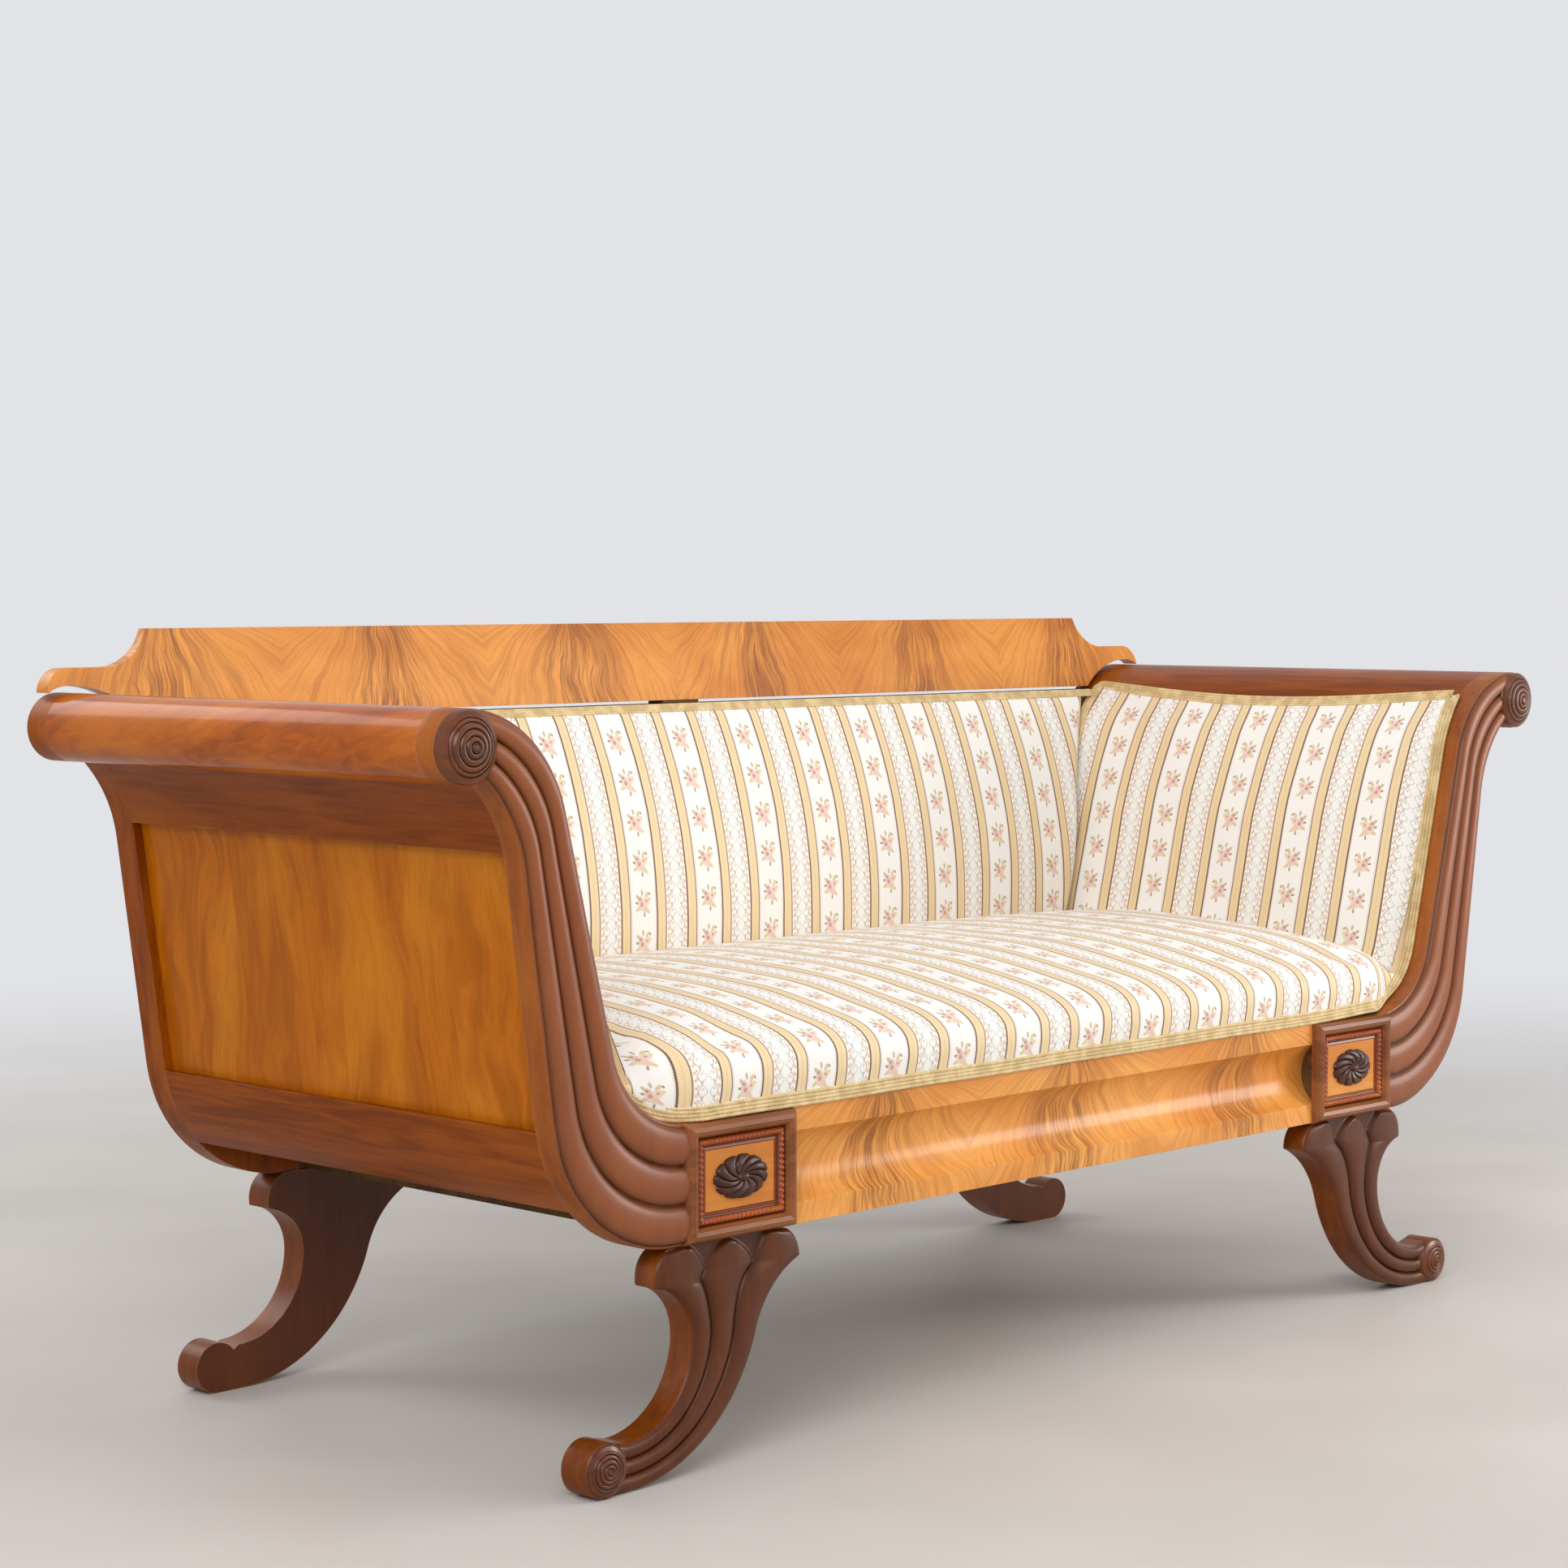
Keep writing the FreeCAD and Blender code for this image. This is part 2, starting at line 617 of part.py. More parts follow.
def front_rail():
    """The apron: a rail with a deep cove between two flat bands, tenoned into both corner blocks."""
    def on(y, z):
        return Vector(-CORE_X, y, z)

    cove_low = FOOT_H + COVE_BOTTOM
    cove_high = RAIL_TOP - COVE_TOP
    middle = on(FACE_Y + COVE_DEPTH, (cove_low + cove_high) / 2)
    edges = [
        Part.LineSegment(on(FACE_Y, FOOT_H), on(FACE_Y, cove_low)).toShape(),
        Part.Arc(on(FACE_Y, cove_low), middle, on(FACE_Y, cove_high)).toShape(),
        Part.LineSegment(on(FACE_Y, cove_high), on(FACE_Y, RAIL_TOP)).toShape(),
        Part.LineSegment(on(FACE_Y, RAIL_TOP), on(FRONT_RAIL_IN, RAIL_TOP)).toShape(),
        Part.LineSegment(on(FRONT_RAIL_IN, RAIL_TOP), on(FRONT_RAIL_IN, FOOT_H)).toShape(),
        Part.LineSegment(on(FRONT_RAIL_IN, FOOT_H), on(FACE_Y, FOOT_H)).toShape(),
    ]
    rail = Part.Face(Part.Wire(edges)).extrude(Vector(2 * CORE_X, 0, 0))
    return rail.fuse(front_rail_tenons())


def front_rail_tenons():
    y = FRONT_RAIL_IN - TENON_T
    reach = CORE_X + TENON_L
    low = FOOT_H + TENON_SHOULDER
    return slab(-reach, reach, y - TENON_T / 2, y + TENON_T / 2, low, RAIL_TOP - TENON_SHOULDER)


def corner_block():
    core = slab(CORE_X, STILE_X, FACE_Y, FRONT_RAIL_IN, FOOT_H, RAIL_TOP)
    for tool in (stile_tenon(FRONT_TENON_Y), front_rail_tenons(), foot_stub(FOOT_Y + FOOT_T / 2)):
        core = core.cut(tool)
    return core


def rear_rail():
    rail = slab(-STILE_X, STILE_X, REAR_IN, RAIL_BACK, FOOT_H, RAIL_TOP).cut(muntin())
    for tool in (stile_tenon(REAR_TENON_Y), foot_stub(REAR_FOOT_Y + FOOT_T / 2)):
        rail = rail.cut(tool).cut(mirrored(tool))
    return rail


def muntin():
    """The middle upright, with a tenon down into the rear rail and one up into the crest."""
    y0 = RAIL_BACK - MUNTIN_T
    post = slab(-MUNTIN_W / 2, MUNTIN_W / 2, y0, RAIL_BACK, RAIL_TOP, CREST_LOW)
    middle = (y0 + RAIL_BACK) / 2
    half = MUNTIN_W / 2 - TENON_T
    tenon = slab(-half, half, middle - TENON_T / 2, middle + TENON_T / 2,
                 RAIL_TOP - TENON_L, CREST_LOW + TENON_L)
    return post.fuse(tenon)


def crest_stub():
    """A loose tenon that stands in the head of the rear stile and carries the end of the crest."""
    half = CREST_STUB_W / 2
    x = ROLL_X - CREST_STUB_IN
    y = (CREST_FRONT_TOP + BACK_Y) / 2 - half
    base = INNER.top[1] + math.sqrt(IN_TOP_R ** 2 - CREST_STUB_IN ** 2) - CREST_STUB_L
    return slab(x - half, x + half, y - half, y + half, base, base + 2 * CREST_STUB_L + CREST_GAP)


def crest_rail():
    """The shaped crest: an arch over each arm head, a round nose, a scooped shoulder and a sloped face."""
    y = CREST_FRONT_LOW
    arch_r = IN_TOP_R + CREST_GAP
    head_r = ROLL_R + CREST_GAP
    spring = (INNER.top[0] - math.sqrt(arch_r ** 2 - (CREST_LOW - INNER.top[1]) ** 2), CREST_LOW)
    crown = (ROLL_X, ROLL_Z + head_r)
    tip = polar(HEAD, head_r, CREST_TIP)
    nose = (tip[0] - CREST_NOSE_R, tip[1])
    nose_top = (nose[0], nose[1] + CREST_NOSE_R)
    top = nose_top[1] + CREST_RISE
    scoop_r = CREST_RISE / (1 - math.cos(CREST_SCOOP_TURN))
    shoulder = (ROLL_X - CREST_SHOULDER_IN, nose_top[1])
    scoop = (shoulder[0], shoulder[1] + scoop_r)
    scoop_end = math.pi * 1.5 - CREST_SCOOP_TURN
    corner = polar(scoop, scoop_r, scoop_end)
    spring_angle = math.atan2(spring[1] - INNER.top[1], spring[0] - INNER.top[0])
    outline = [
        line((0.0, CREST_LOW), spring, y),
        arc(spring, polar(INNER.top, arch_r, (spring_angle + math.pi / 2) / 2), crown, y),
        arc(crown, polar(HEAD, head_r, (CREST_TIP + math.pi / 2) / 2), tip, y),
        arc(tip, polar(nose, CREST_NOSE_R, math.pi / 4), nose_top, y),
        line(nose_top, shoulder, y),
        arc(shoulder, polar(scoop, scoop_r, (scoop_end + math.pi * 1.5) / 2), corner, y),
        line(corner, (0.0, top), y),
        line((0.0, top), (0.0, CREST_LOW), y),
    ]
    board = both_halves(prism(outline, BACK_Y - y))
    low = Vector(-ROLL_X - ROLL_R, CREST_FRONT_LOW, CREST_LOW)
    high = Vector(low.x, CREST_FRONT_TOP, top)
    slope = Part.Face(Part.makePolygon([low, high, Vector(low.x, CREST_FRONT_LOW, top), low]))
    board = board.cut(slope.extrude(Vector(-2 * low.x, 0, 0))).cut(muntin())
    return board.cut(crest_stub()).cut(mirrored(crest_stub()))


def back_rail(low, high):
    """One back rail, scribed to the rear stile at its outer end and butted to the muntin."""
    reach = INNER.x_at(high)
    rail = slab(MUNTIN_W / 2, reach, BACK_RAIL_Y, BACK_RAIL_Y + BACK_RAIL_T, low, high)
    return rail.cut(stile_board(BACK_RAIL_Y, BACK_RAIL_T))


def seat_webbing():
    straps = []
    for k in range(SEAT_WEBS):
        x = SIDE_RAIL_IN_X * (2 * (k + 0.5) / SEAT_WEBS - 1)
        straps.append(slab(x - WEB_W / 2, x + WEB_W / 2, FACE_Y + GIMP_T, BACK_RAIL_Y - GIMP_T, RAIL_TOP,
                           RAIL_TOP + WEB_T))
    span = REAR_IN - FRONT_RAIL_IN
    for k in range(SEAT_WEB_ROWS):
        y = FRONT_RAIL_IN + span * (k + 0.5) / SEAT_WEB_ROWS
        straps.append(slab(-SIDE_RAIL_OUT_X, SIDE_RAIL_OUT_X, y - WEB_W / 2, y + WEB_W / 2,
                           RAIL_TOP + WEB_T, WEB_TOP))
    return straps


def back_webbing():
    straps = []
    reach = SIDE_RAIL_OUT_X
    for k in range(BACK_WEBS):
        x = reach * (k + WEB_SHARE) / BACK_WEBS
        strap = slab(x - WEB_W / 2, x + WEB_W / 2, BACK_RAIL_Y - WEB_T, BACK_RAIL_Y,
                     BACK_LOW_RAIL_Z, BACK_RAIL_TOP)
        straps.append(strap)
        straps.append(mirrored(strap))
    return straps


def glue_blocks():
    """Three-cornered blocks in the angles of the seat frame, shared out to its four corners."""
    z = CORE_Z - GLUE_BLOCK_H / 2
    blocks = []
    for y, way in ((FRONT_RAIL_IN, 1.0), (REAR_IN, -1.0)):
        corner = Vector(SIDE_RAIL_IN_X, y, z)
        leg = Vector(SIDE_RAIL_IN_X - GLUE_BLOCK_LEG, y, z)
        wing = Vector(SIDE_RAIL_IN_X, y + way * GLUE_BLOCK_LEG, z)
        block = Part.Face(Part.makePolygon([corner, leg, wing, corner])).extrude(Vector(0, 0, GLUE_BLOCK_H))
        blocks += [block, mirrored(block)]
    return blocks


def seat_side_x(z):
    return SEAT_END_LOW_X + SEAT_END_LEAN * (z - SEAT_LOW)


def seat_pad():
    """A stuffed seat: bulging front edge, crowned top, corners drawn in where the arms meet it."""
    end_x = seat_side_x(SEAT_CROWN) + PAD_GAP
    corner_y = FACE_Y + SEAT_CORNER_IN
    wires = []
    ends = [(-share, tuck) for share, tuck in SEAT_TUCKS] + list(SEAT_TUCKS[::-1])
    for share, tuck in ends:
        x = share * end_x
        front = FACE_Y + PAD_GAP + tuck * (FRONT_BOARD_T + GIMP_W)
        nose_y = FACE_Y + SEAT_NOSE + tuck * (SEAT_CORNER_IN - SEAT_NOSE)
        nose_z = SEAT_NOSE_Z - tuck * SEAT_CORNER_DROP
        bulge = Vector(x, front - SEAT_BULGE * (1 - tuck), (SEAT_EDGE_Z + nose_z) / 2)
        low = Vector(x, front, SEAT_LOW)
        edge = Vector(x, front, SEAT_EDGE_Z)
        nose = Vector(x, nose_y, nose_z)
        crown = Vector(x, SEAT_CROWN_Y, SEAT_CROWN - tuck * SEAT_NOSE / 2)
        rear = Vector(x, SEAT_BACK_Y, SEAT_BACK_Z)
        rear_low = Vector(x, SEAT_BACK_Y, SEAT_LOW)
        wires.append(Part.Wire([
            Part.LineSegment(low, edge).toShape(), Part.Arc(edge, bulge, nose).toShape(),
            Part.Arc(nose, crown, rear).toShape(), Part.LineSegment(rear, rear_low).toShape(),
            Part.LineSegment(rear_low, low).toShape()]))
    return Part.makeLoft(wires, True, True).common(seat_space(0.0))


def seat_space(grow):
    """The room between the two leaning end faces of the seat."""
    y = FACE_Y - FRONT_BOARD_T
    low = (seat_side_x(RAIL_TOP) + grow, RAIL_TOP)
    high = (seat_side_x(SEAT_CROWN + SEAT_NOSE) + grow, SEAT_CROWN + SEAT_NOSE)
    ring = [(-low[0], low[1]), low, high, (-high[0], high[1])]
    return prism([line(ring[k], ring[(k + 1) % 4], y) for k in range(4)], BACK_Y - y)


def arm_pad_depth(z):
    """Thickness of the arm's stuffing: full in the middle and thin at the gimp along the top."""
    rise = max(0.0, (z - ARM_PAD_FULL_Z) / (BACK_PAD_TOP - ARM_PAD_FULL_Z))
    return ARM_PAD_EDGE + (ARM_PAD_T - ARM_PAD_EDGE) * (1 - min(1.0, rise) ** 3)


def arm_pad():
    """The stuffed arm: sections square to the arm's S, each crowned from front to back."""
    front = FRONT_IN + GIMP_W
    rear = BACK_CLOTH_Y - PAD_GAP
    base = INNER.stations(ARM_PAD_STEPS, ARM_PAD_START, ARM_PAD_END)
    inward = INNER.shift(1.0).stations(ARM_PAD_STEPS, ARM_PAD_START, ARM_PAD_END)
    wires = []
    for foot, step in zip(base, inward):
        def on(depth, y):
            return Vector(foot[0] + depth * (step[0] - foot[0]), y, foot[1] + depth * (step[1] - foot[1]))

        depth = arm_pad_depth(foot[1])
        thin = min(ARM_PAD_EDGE, depth * ARM_PAD_THIN)
        rear_depth = (thin + 2 * depth) / 3
        ring = [on(PAD_GAP, rear), on(PAD_GAP, front), on(thin, front), on(rear_depth, rear)]
        crown = on(depth, (front + rear) / 2)
        wires.append(Part.Wire([
            Part.LineSegment(ring[0], ring[1]).toShape(), Part.LineSegment(ring[1], ring[2]).toShape(),
            Part.Arc(ring[2], crown, ring[3]).toShape(), Part.LineSegment(ring[3], ring[0]).toShape()]))
    return Part.makeLoft(wires, True, True).cut(seat_space(PAD_GAP))


def back_pad_y(z):
    rise = max(0.0, (z - BACK_PAD_BEND_Z) / (BACK_PAD_TOP - BACK_PAD_BEND_Z))
    return BACK_PAD_LOW_Y + (BACK_PAD_TOP_Y - BACK_PAD_LOW_Y) * rise ** 2


def back_pad():
    """The stuffed back: full at the loins, leaning away to its top edge, fitted between the arm pads."""
    rear = BACK_CLOTH_Y - PAD_GAP / 2
    half = ROLL_X
    wires = []
    low = RAIL_TOP + BACK_LOW_RAIL_H
    for k in range(BACK_PAD_STEPS + 1):
        z = low + (BACK_PAD_TOP - low) * k / BACK_PAD_STEPS
        front = back_pad_y(z)
        edge = front + min(BACK_PAD_CROWN, (rear - front) / 2)
        a = Vector(-half, rear, z)
        b = Vector(-half, edge, z)
        c = Vector(0, front, z)
        d = Vector(half, edge, z)
        e = Vector(half, rear, z)
        wires.append(Part.Wire([
            Part.LineSegment(a, b).toShape(), Part.Arc(b, c, d).toShape(),
            Part.LineSegment(d, e).toShape(), Part.LineSegment(e, a).toShape()]))
    room = between_arms(ARM_PAD_T + PAD_GAP, BACK_PAD_LOW_Y - BACK_PAD_CROWN, rear, low, BACK_PAD_TOP)
    return Part.makeLoft(wires, True, True).common(room)


def arm_gimp():
    """Gimp up the front edge of the arm and along its top, one strip each."""
    low = INNER.on_low(ARM_PAD_START)[1]
    top = BACK_PAD_TOP + 3 * PAD_GAP
    rise = band(INNER, 0.0, GIMP_T, FRONT_IN, FRONT_IN + GIMP_W - PAD_GAP / 2, low, top)
    run = band(INNER, 0.0, GIMP_T, FRONT_IN, BACK_PAD_TOP_Y, top, top + GIMP_W * math.sin(ARM_PAD_END))
    return [rise, run]


def cap_rail():
    return band(INNER, 0.0, -CAP_T, FRONT_IN, REAR_IN, CAP_LOW, ROLL_Z + ROLL_R).cut(ROLL_BODY)


def main():
    os.makedirs("parts", exist_ok=True)

    save("front_rail", front_rail())
    save("rear_rail", rear_rail())
    save_pair("side_rail", slab(SIDE_RAIL_IN_X, SIDE_RAIL_OUT_X, FRONT_RAIL_IN, REAR_IN, FOOT_H, RAIL_TOP))
    bearer_top = RAIL_TOP - BEARER_DROP
    bearer = slab(BEARER_X - BEARER_W / 2, BEARER_X + BEARER_W / 2, FRONT_RAIL_IN, REAR_IN,
                  bearer_top - BEARER_H, bearer_top)
    save_set("seat_bearers", bearer)
    save("glue_blocks", *glue_blocks())

    save_pair("corner_block", corner_block())
    save_pair("block_frame", *mitred_frame(FRAME_SIZE, FRAME_W, FRAME_T, FACE_Y))
    save_set("block_ripples", *mitred_frame(RIPPLE_SIZE, RIPPLE_W, RIPPLE_T, FACE_Y))
    light_w = RIPPLE_SIZE[0] / 2 - RIPPLE_W
    light_h = RIPPLE_SIZE[1] / 2 - RIPPLE_W
    save_pair("block_panel", slab(CORE_MID - light_w, CORE_MID + light_w, FACE_Y - PANEL_T, FACE_Y,
                                  CORE_Z - light_h, CORE_Z + light_h))
    save_set("block_flowers", flower(FACE_Y - PANEL_T))

    save_pair("front_stile", front_stile())
    save_pair("rear_stile", rear_stile())
    save_pair("arm_roll", ROLL_BODY.fuse(ROLL_STUB))
    save_set("roll_rosettes", rosette(HEAD, ROLL_R - ROSETTE_RIM, ROSETTE_RINGS, ROSETTE_BASE, ROSETTE_DOME,
                                    FACE_Y))
    top_rail = band(OUTER, 0.0, END_RAIL_T, FRONT_IN, REAR_IN, END_TOP_LOW, END_TOP_HIGH)
    save_pair("end_top_rail", top_rail.fuse(TOP_TENONS).cut(ROLL_BODY).cut(END_PANEL))
    save_pair("end_panel", END_PANEL)
    bottom_rail = band(OUTER, 0.0, END_RAIL_T, FRONT_IN, REAR_IN, END_BOTTOM_LOW, END_BOTTOM_HIGH)
    save_pair("end_bottom_rail", bottom_rail.fuse(BOTTOM_TENONS).cut(END_PANEL))
    save_pair("arm_cap_rail", cap_rail())
    save_pair("arm_tack_rail", band(INNER, -LINING_T, -LINING_T - TACK_T, FRONT_IN, REAR_IN, TACK_LOW,
                                    TACK_LOW + TACK_H))

    save("crest_rail", crest_rail())
    save("back_muntin", muntin())
    top_half = back_rail(BACK_RAIL_TOP - BACK_RAIL_H, BACK_RAIL_TOP)
    save_set("back_top_rails", top_half)
    low_half = back_rail(BACK_LOW_RAIL_Z, BACK_LOW_RAIL_Z + BACK_LOW_RAIL_H)
    save_set("back_low_rails", low_half)

    save_pair("front_foot", front_foot())
    save_pair("rear_foot", rear_foot())
    save_set("foot_rosettes", rosette(FOOT_SCROLL, SCROLL_R - FOOT_ROSETTE_RIM, FOOT_ROSETTE_RINGS, 0.0,
                                      FOOT_ROSETTE_DOME, FOOT_Y))

    save("seat_webbing", *seat_webbing())
    save("seat_hessian", slab(-SIDE_RAIL_OUT_X, SIDE_RAIL_OUT_X, FACE_Y + GIMP_T, REAR_IN - GIMP_T,
                              WEB_TOP, SEAT_LOW))
    save("seat_pad", seat_pad())
    gimp_x = STILE_X - GIMP_T
    save("seat_gimp", slab(-gimp_x, gimp_x, FACE_Y - GIMP_T + PAD_GAP / 2, FACE_Y + PAD_GAP / 2, RAIL_TOP,
                           RAIL_TOP + GIMP_W))
    save("back_webbing", *back_webbing())
    save("back_hessian", between_arms(PAD_GAP, BACK_CLOTH_Y, BACK_CLOTH_Y + CLOTH_T,
                                      BACK_LOW_RAIL_Z, BACK_RAIL_TOP))
    save("back_pad", back_pad())
    gimp_half = INNER.x_at(BACK_PAD_TOP) - GIMP_W
    save("back_gimp", slab(-gimp_half, gimp_half, BACK_PAD_TOP_Y, BACK_CLOTH_Y,
                           BACK_PAD_TOP, BACK_PAD_TOP + GIMP_T))
    save("back_cloth", between_arms(PAD_GAP, RAIL_BACK, RAIL_BACK + CLOTH_T,
                                    RAIL_TOP - TENON_L, BACK_RAIL_TOP))
    save_pair("arm_lining", band(INNER, 0.0, -LINING_T, FRONT_IN, REAR_IN, LINING_LOW, CAP_LOW))
    save_pair("arm_pad", arm_pad())
    save_pair("arm_gimp", *arm_gimp())


main()
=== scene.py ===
from functools import partialmethod
from math import copysign, cos, dist, pi, radians, sin, sqrt

import bmesh
import bpy
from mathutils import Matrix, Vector, noise


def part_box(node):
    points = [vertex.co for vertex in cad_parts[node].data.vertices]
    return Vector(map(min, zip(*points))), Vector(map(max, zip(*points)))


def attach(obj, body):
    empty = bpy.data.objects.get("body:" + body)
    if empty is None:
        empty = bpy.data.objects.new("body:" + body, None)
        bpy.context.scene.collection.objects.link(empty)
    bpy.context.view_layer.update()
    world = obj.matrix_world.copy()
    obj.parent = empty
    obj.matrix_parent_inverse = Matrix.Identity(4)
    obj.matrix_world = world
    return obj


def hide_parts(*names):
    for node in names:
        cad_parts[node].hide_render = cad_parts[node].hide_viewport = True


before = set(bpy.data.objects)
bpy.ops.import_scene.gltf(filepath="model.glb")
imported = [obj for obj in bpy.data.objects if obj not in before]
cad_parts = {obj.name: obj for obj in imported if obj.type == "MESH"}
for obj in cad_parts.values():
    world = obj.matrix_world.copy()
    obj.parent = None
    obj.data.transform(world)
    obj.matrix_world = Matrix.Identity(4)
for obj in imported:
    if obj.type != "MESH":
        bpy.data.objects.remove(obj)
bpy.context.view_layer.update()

MM = 0.001
TAU = 2 * pi
SIDES = ((-1, "left"), (1, "right"))
SCENE = bpy.context.scene

# Frame in millimetres: the floor is z = 0, +X the viewer's right, the front faces -Y
FOOT_H = 252.0
RAIL_TOP = FOOT_H + 131.0
RAIL_X = 637.0
OPEN_X = RAIL_X - 30.0
STILE_X = 649.0
FACE_Y = -346.0
BOARD_BACK_Y = FACE_Y + 28.0
BACK_Y = 334.0
BLOCK_AT = (STILE_X - 149.0 / 2, (FOOT_H + RAIL_TOP) / 2)
ROLL_AT = (961.0, 797.0)
ROLL_R = 39.0

# Reeds on the stiles
REEDS = 3
REED_COLS = 12
REED_EDGE = 3.0
REED_RISE = 8.0
REED_FULL_W = 70.0

# Front feet: the arcs of the inner edge, then of the outer edge, and the toe
FOOT_IN_X = 508.0
SHIN_AT = (434.8, 107.2)
SHIN_R = 116.0
SHIN_TOP = 70.0
SOLE_R = 207.0
SOLE_AT = (742.0, SOLE_R)
FOOT_OUT_X = 672.0
HIP_AT = (705.0, 151.0)
HIP_R = 60.0
HIP_TOP = 98.0
INSTEP_AT = (743.0, 151.0)
INSTEP_R = 98.0
TOE_R = 30.0
TOE_AT = (774.0, TOE_R)
FOOT_BACK_Y = -312.0
FOOT_FACE_Y = -341.0
TOE_FACE_Y = -350.0

# Ornament of the corner blocks
FLOWER_HALF = (41.0, 24.5)
FLOWER_PETALS = 11
FLOWER_TWIST = 11.0
FLOWER_RISE = 8.2
FLOWER_BOSS = 0.2
RIPPLE_SIZE = (133.0, 95.0)
RIPPLE_PITCH = 6.4

# Upholstery: seat, back and arms
CORNER_X = (620.0, 703.0)
SEAT_HALF = 693.0
SEAT_FOOT_Z = 387.5
SEAT_FLARE = 0.45
SEAT_CLEAR = 7.0
LIP_TOP = 440.0
BACK_LOW_Z = 420.0
BACK_TOP_Z = 799.0
PAD_START = 0.1
PAD_EDGE = 3.0
ARM_TOP_Z = 806.0
ARM_DIP = 16.0

# Braids: the cords of the seat and the arms, and how far the seat's braid has lifted at each end
BRAID_Y = -348.5
BRAID_Z = 392.0
BRAID_SETBACK = 27.5
CORDS = 4
CORD_R = 2.4
CORD_PITCH = 6.6
LIFT = {-1: 0.0, 1: 3.0}

# Weave of the straps, sizes of the sacking
SEAT_STRAPS = 11
CROSS_STRAPS = 5
CROSS_PITCH = 126.4
OPEN_Y = -300.0
TACK_Y = FACE_Y + 4.0
STRAP_Z = RAIL_TOP + 1.5
STRAP_SWAY = 0.8
SACKING_D = 670.0
BACK_CLOTH_Z = 395.0
BACK_CLOTH_H = 405.0
ARM_CLOTH_W = 650.0
ARM_CLOTH_Z = (394.0, 772.0)
ARM_CLOTH_IN = -1.5

# Striped cloth, measured from the middle of the sprig band
STRIPE_REPEAT = 118.0
GOLD_IN = 24.0
GOLD_OUT = 39.8
SPRIG_REPEAT = 52.0
LACE_REPEAT = 17.3
THREAD_PITCH = 1.6


def lerp(a, b, share):
    return a + (b - a) * share


def spread(low, high, count):
    """Evenly parted values from low to high."""
    return [lerp(low, high, n / count) for n in range(count + 1)]


def ease(value, low, high):
    """0 at low and 1 at high, eased between them."""
    s = min(1.0, max(0.0, (value - low) / (high - low)))
    return s * s * (3 - 2 * s)


# Shader nodes
def linear(colour):
    """A colour written as screen bytes, as the shader's linear values."""
    shares = [c / 255.0 for c in colour]
    return [s / 12.92 if s <= 0.04045 else ((s + 0.055) / 1.055) ** 2.4 for s in shares] + [1.0]


def put(slot, value):
    """Links a node's output to a socket, or sets a number or a colour there."""
    if isinstance(value, Val):
        value.tree.links.new(value.socket, slot)
    else:
        slot.default_value = linear(value) if isinstance(value, tuple) else value


def new(tree, kind, values=(), **settings):
    """A new shader node with settings, and values on sockets by number or name."""
    node = tree.nodes.new("ShaderNode" + kind)
    for key, value in settings.items():
        setattr(node, key, value)
    for slot, value in dict(values).items():
        put(node.inputs[slot], value)
    return node


class Val:
    """A shader node's output that adds and multiplies like a number."""

    def __init__(self, node, out=0):
        self.tree = node.id_data
        self.socket = node.outputs[out]

    def op(self, kind, *others):
        return Val(new(self.tree, "Math", enumerate((self, *others)), operation=kind))

    __add__ = partialmethod(op, "ADD")
    __sub__ = partialmethod(op, "SUBTRACT")
    __mul__ = partialmethod(op, "MULTIPLY")
    __truediv__ = partialmethod(op, "DIVIDE")
    mod = partialmethod(op, "FLOORED_MODULO")
    abs = partialmethod(op, "ABSOLUTE")

    def wave(self, pitch):
        return (self * (TAU / pitch)).op("SINE")

    def ramp(self, low, high):
        """0 at low and 1 at high, eased between them."""
        ends = (low, high, 0.0, 1.0) if low < high else (high, low, 1.0, 0.0)
        return Val(new(self.tree, "MapRange", enumerate((self, *ends)), interpolation_type="SMOOTHSTEP"))

    def mix(self, a, b):
        """Colour a where this is 0 and b where it is 1."""
        return Val(new(self.tree, "Mix", {0: self, 6: a, 7: b}, data_type="RGBA"), 2)


def paint(colour, *layers):
    """Lays tints over a colour one after another, each by its own share."""
    for share, tint in layers:
        colour = share.mix(colour, tint)
    return colour


def split(node, out):
    """The three parts of a node's vector."""
    parts = new(node.id_data, "SeparateXYZ", {0: Val(node, out)})
    return [Val(parts, k) for k in range(3)]


def place(tree):
    """Object coordinates in millimetres."""
    return [v * 1000.0 for v in split(new(tree, "TexCoord"), "Object")]


def cloud(where, scale, detail, warp=0.0):
    """Noise around a half at a place, each of its coordinates scaled first."""
    tree = where[0].tree
    spot = Val(new(tree, "CombineXYZ", enumerate(v * k for v, k in zip(where, scale))))
    values = {"Vector": spot, "Scale": 1.0, "Detail": detail, "Distortion": warp}
    return Val(new(tree, "TexNoise", values), "Fac")


def surface(name, rough, coat=0.0, coat_rough=0.12, sheen=0.0, spec=0.5):
    """A new material with its even values set on the shader."""
    mat = bpy.data.materials.new(name)
    mat.use_nodes = True
    skin = mat.node_tree.nodes["Principled BSDF"]
    for slot, value in (("Roughness", rough), ("Coat Weight", coat), ("Coat Roughness", coat_rough),
                        ("Sheen Weight", sheen), ("Specular IOR Level", spec)):
        put(skin.inputs[slot], value)
    return mat, mat.node_tree, skin


def bevel(tree, radius):
    """Normals over edges softened by a radius in millimetres."""
    return Val(new(tree, "Bevel", {"Radius": radius * MM}, samples=4))


def dress(skin, colour, height, depth, strength, edge=0.0):
    """Gives a surface its colour, and bump of a depth in millimetres over softened edges."""
    put(skin.inputs["Base Color"], colour)
    bump = new(height.tree, "Bump", {"Distance": depth * MM, "Strength": strength, "Height": height})
    if edge:
        put(bump.inputs["Normal"], bevel(height.tree, edge))
    put(skin.inputs["Normal"], Val(bump))


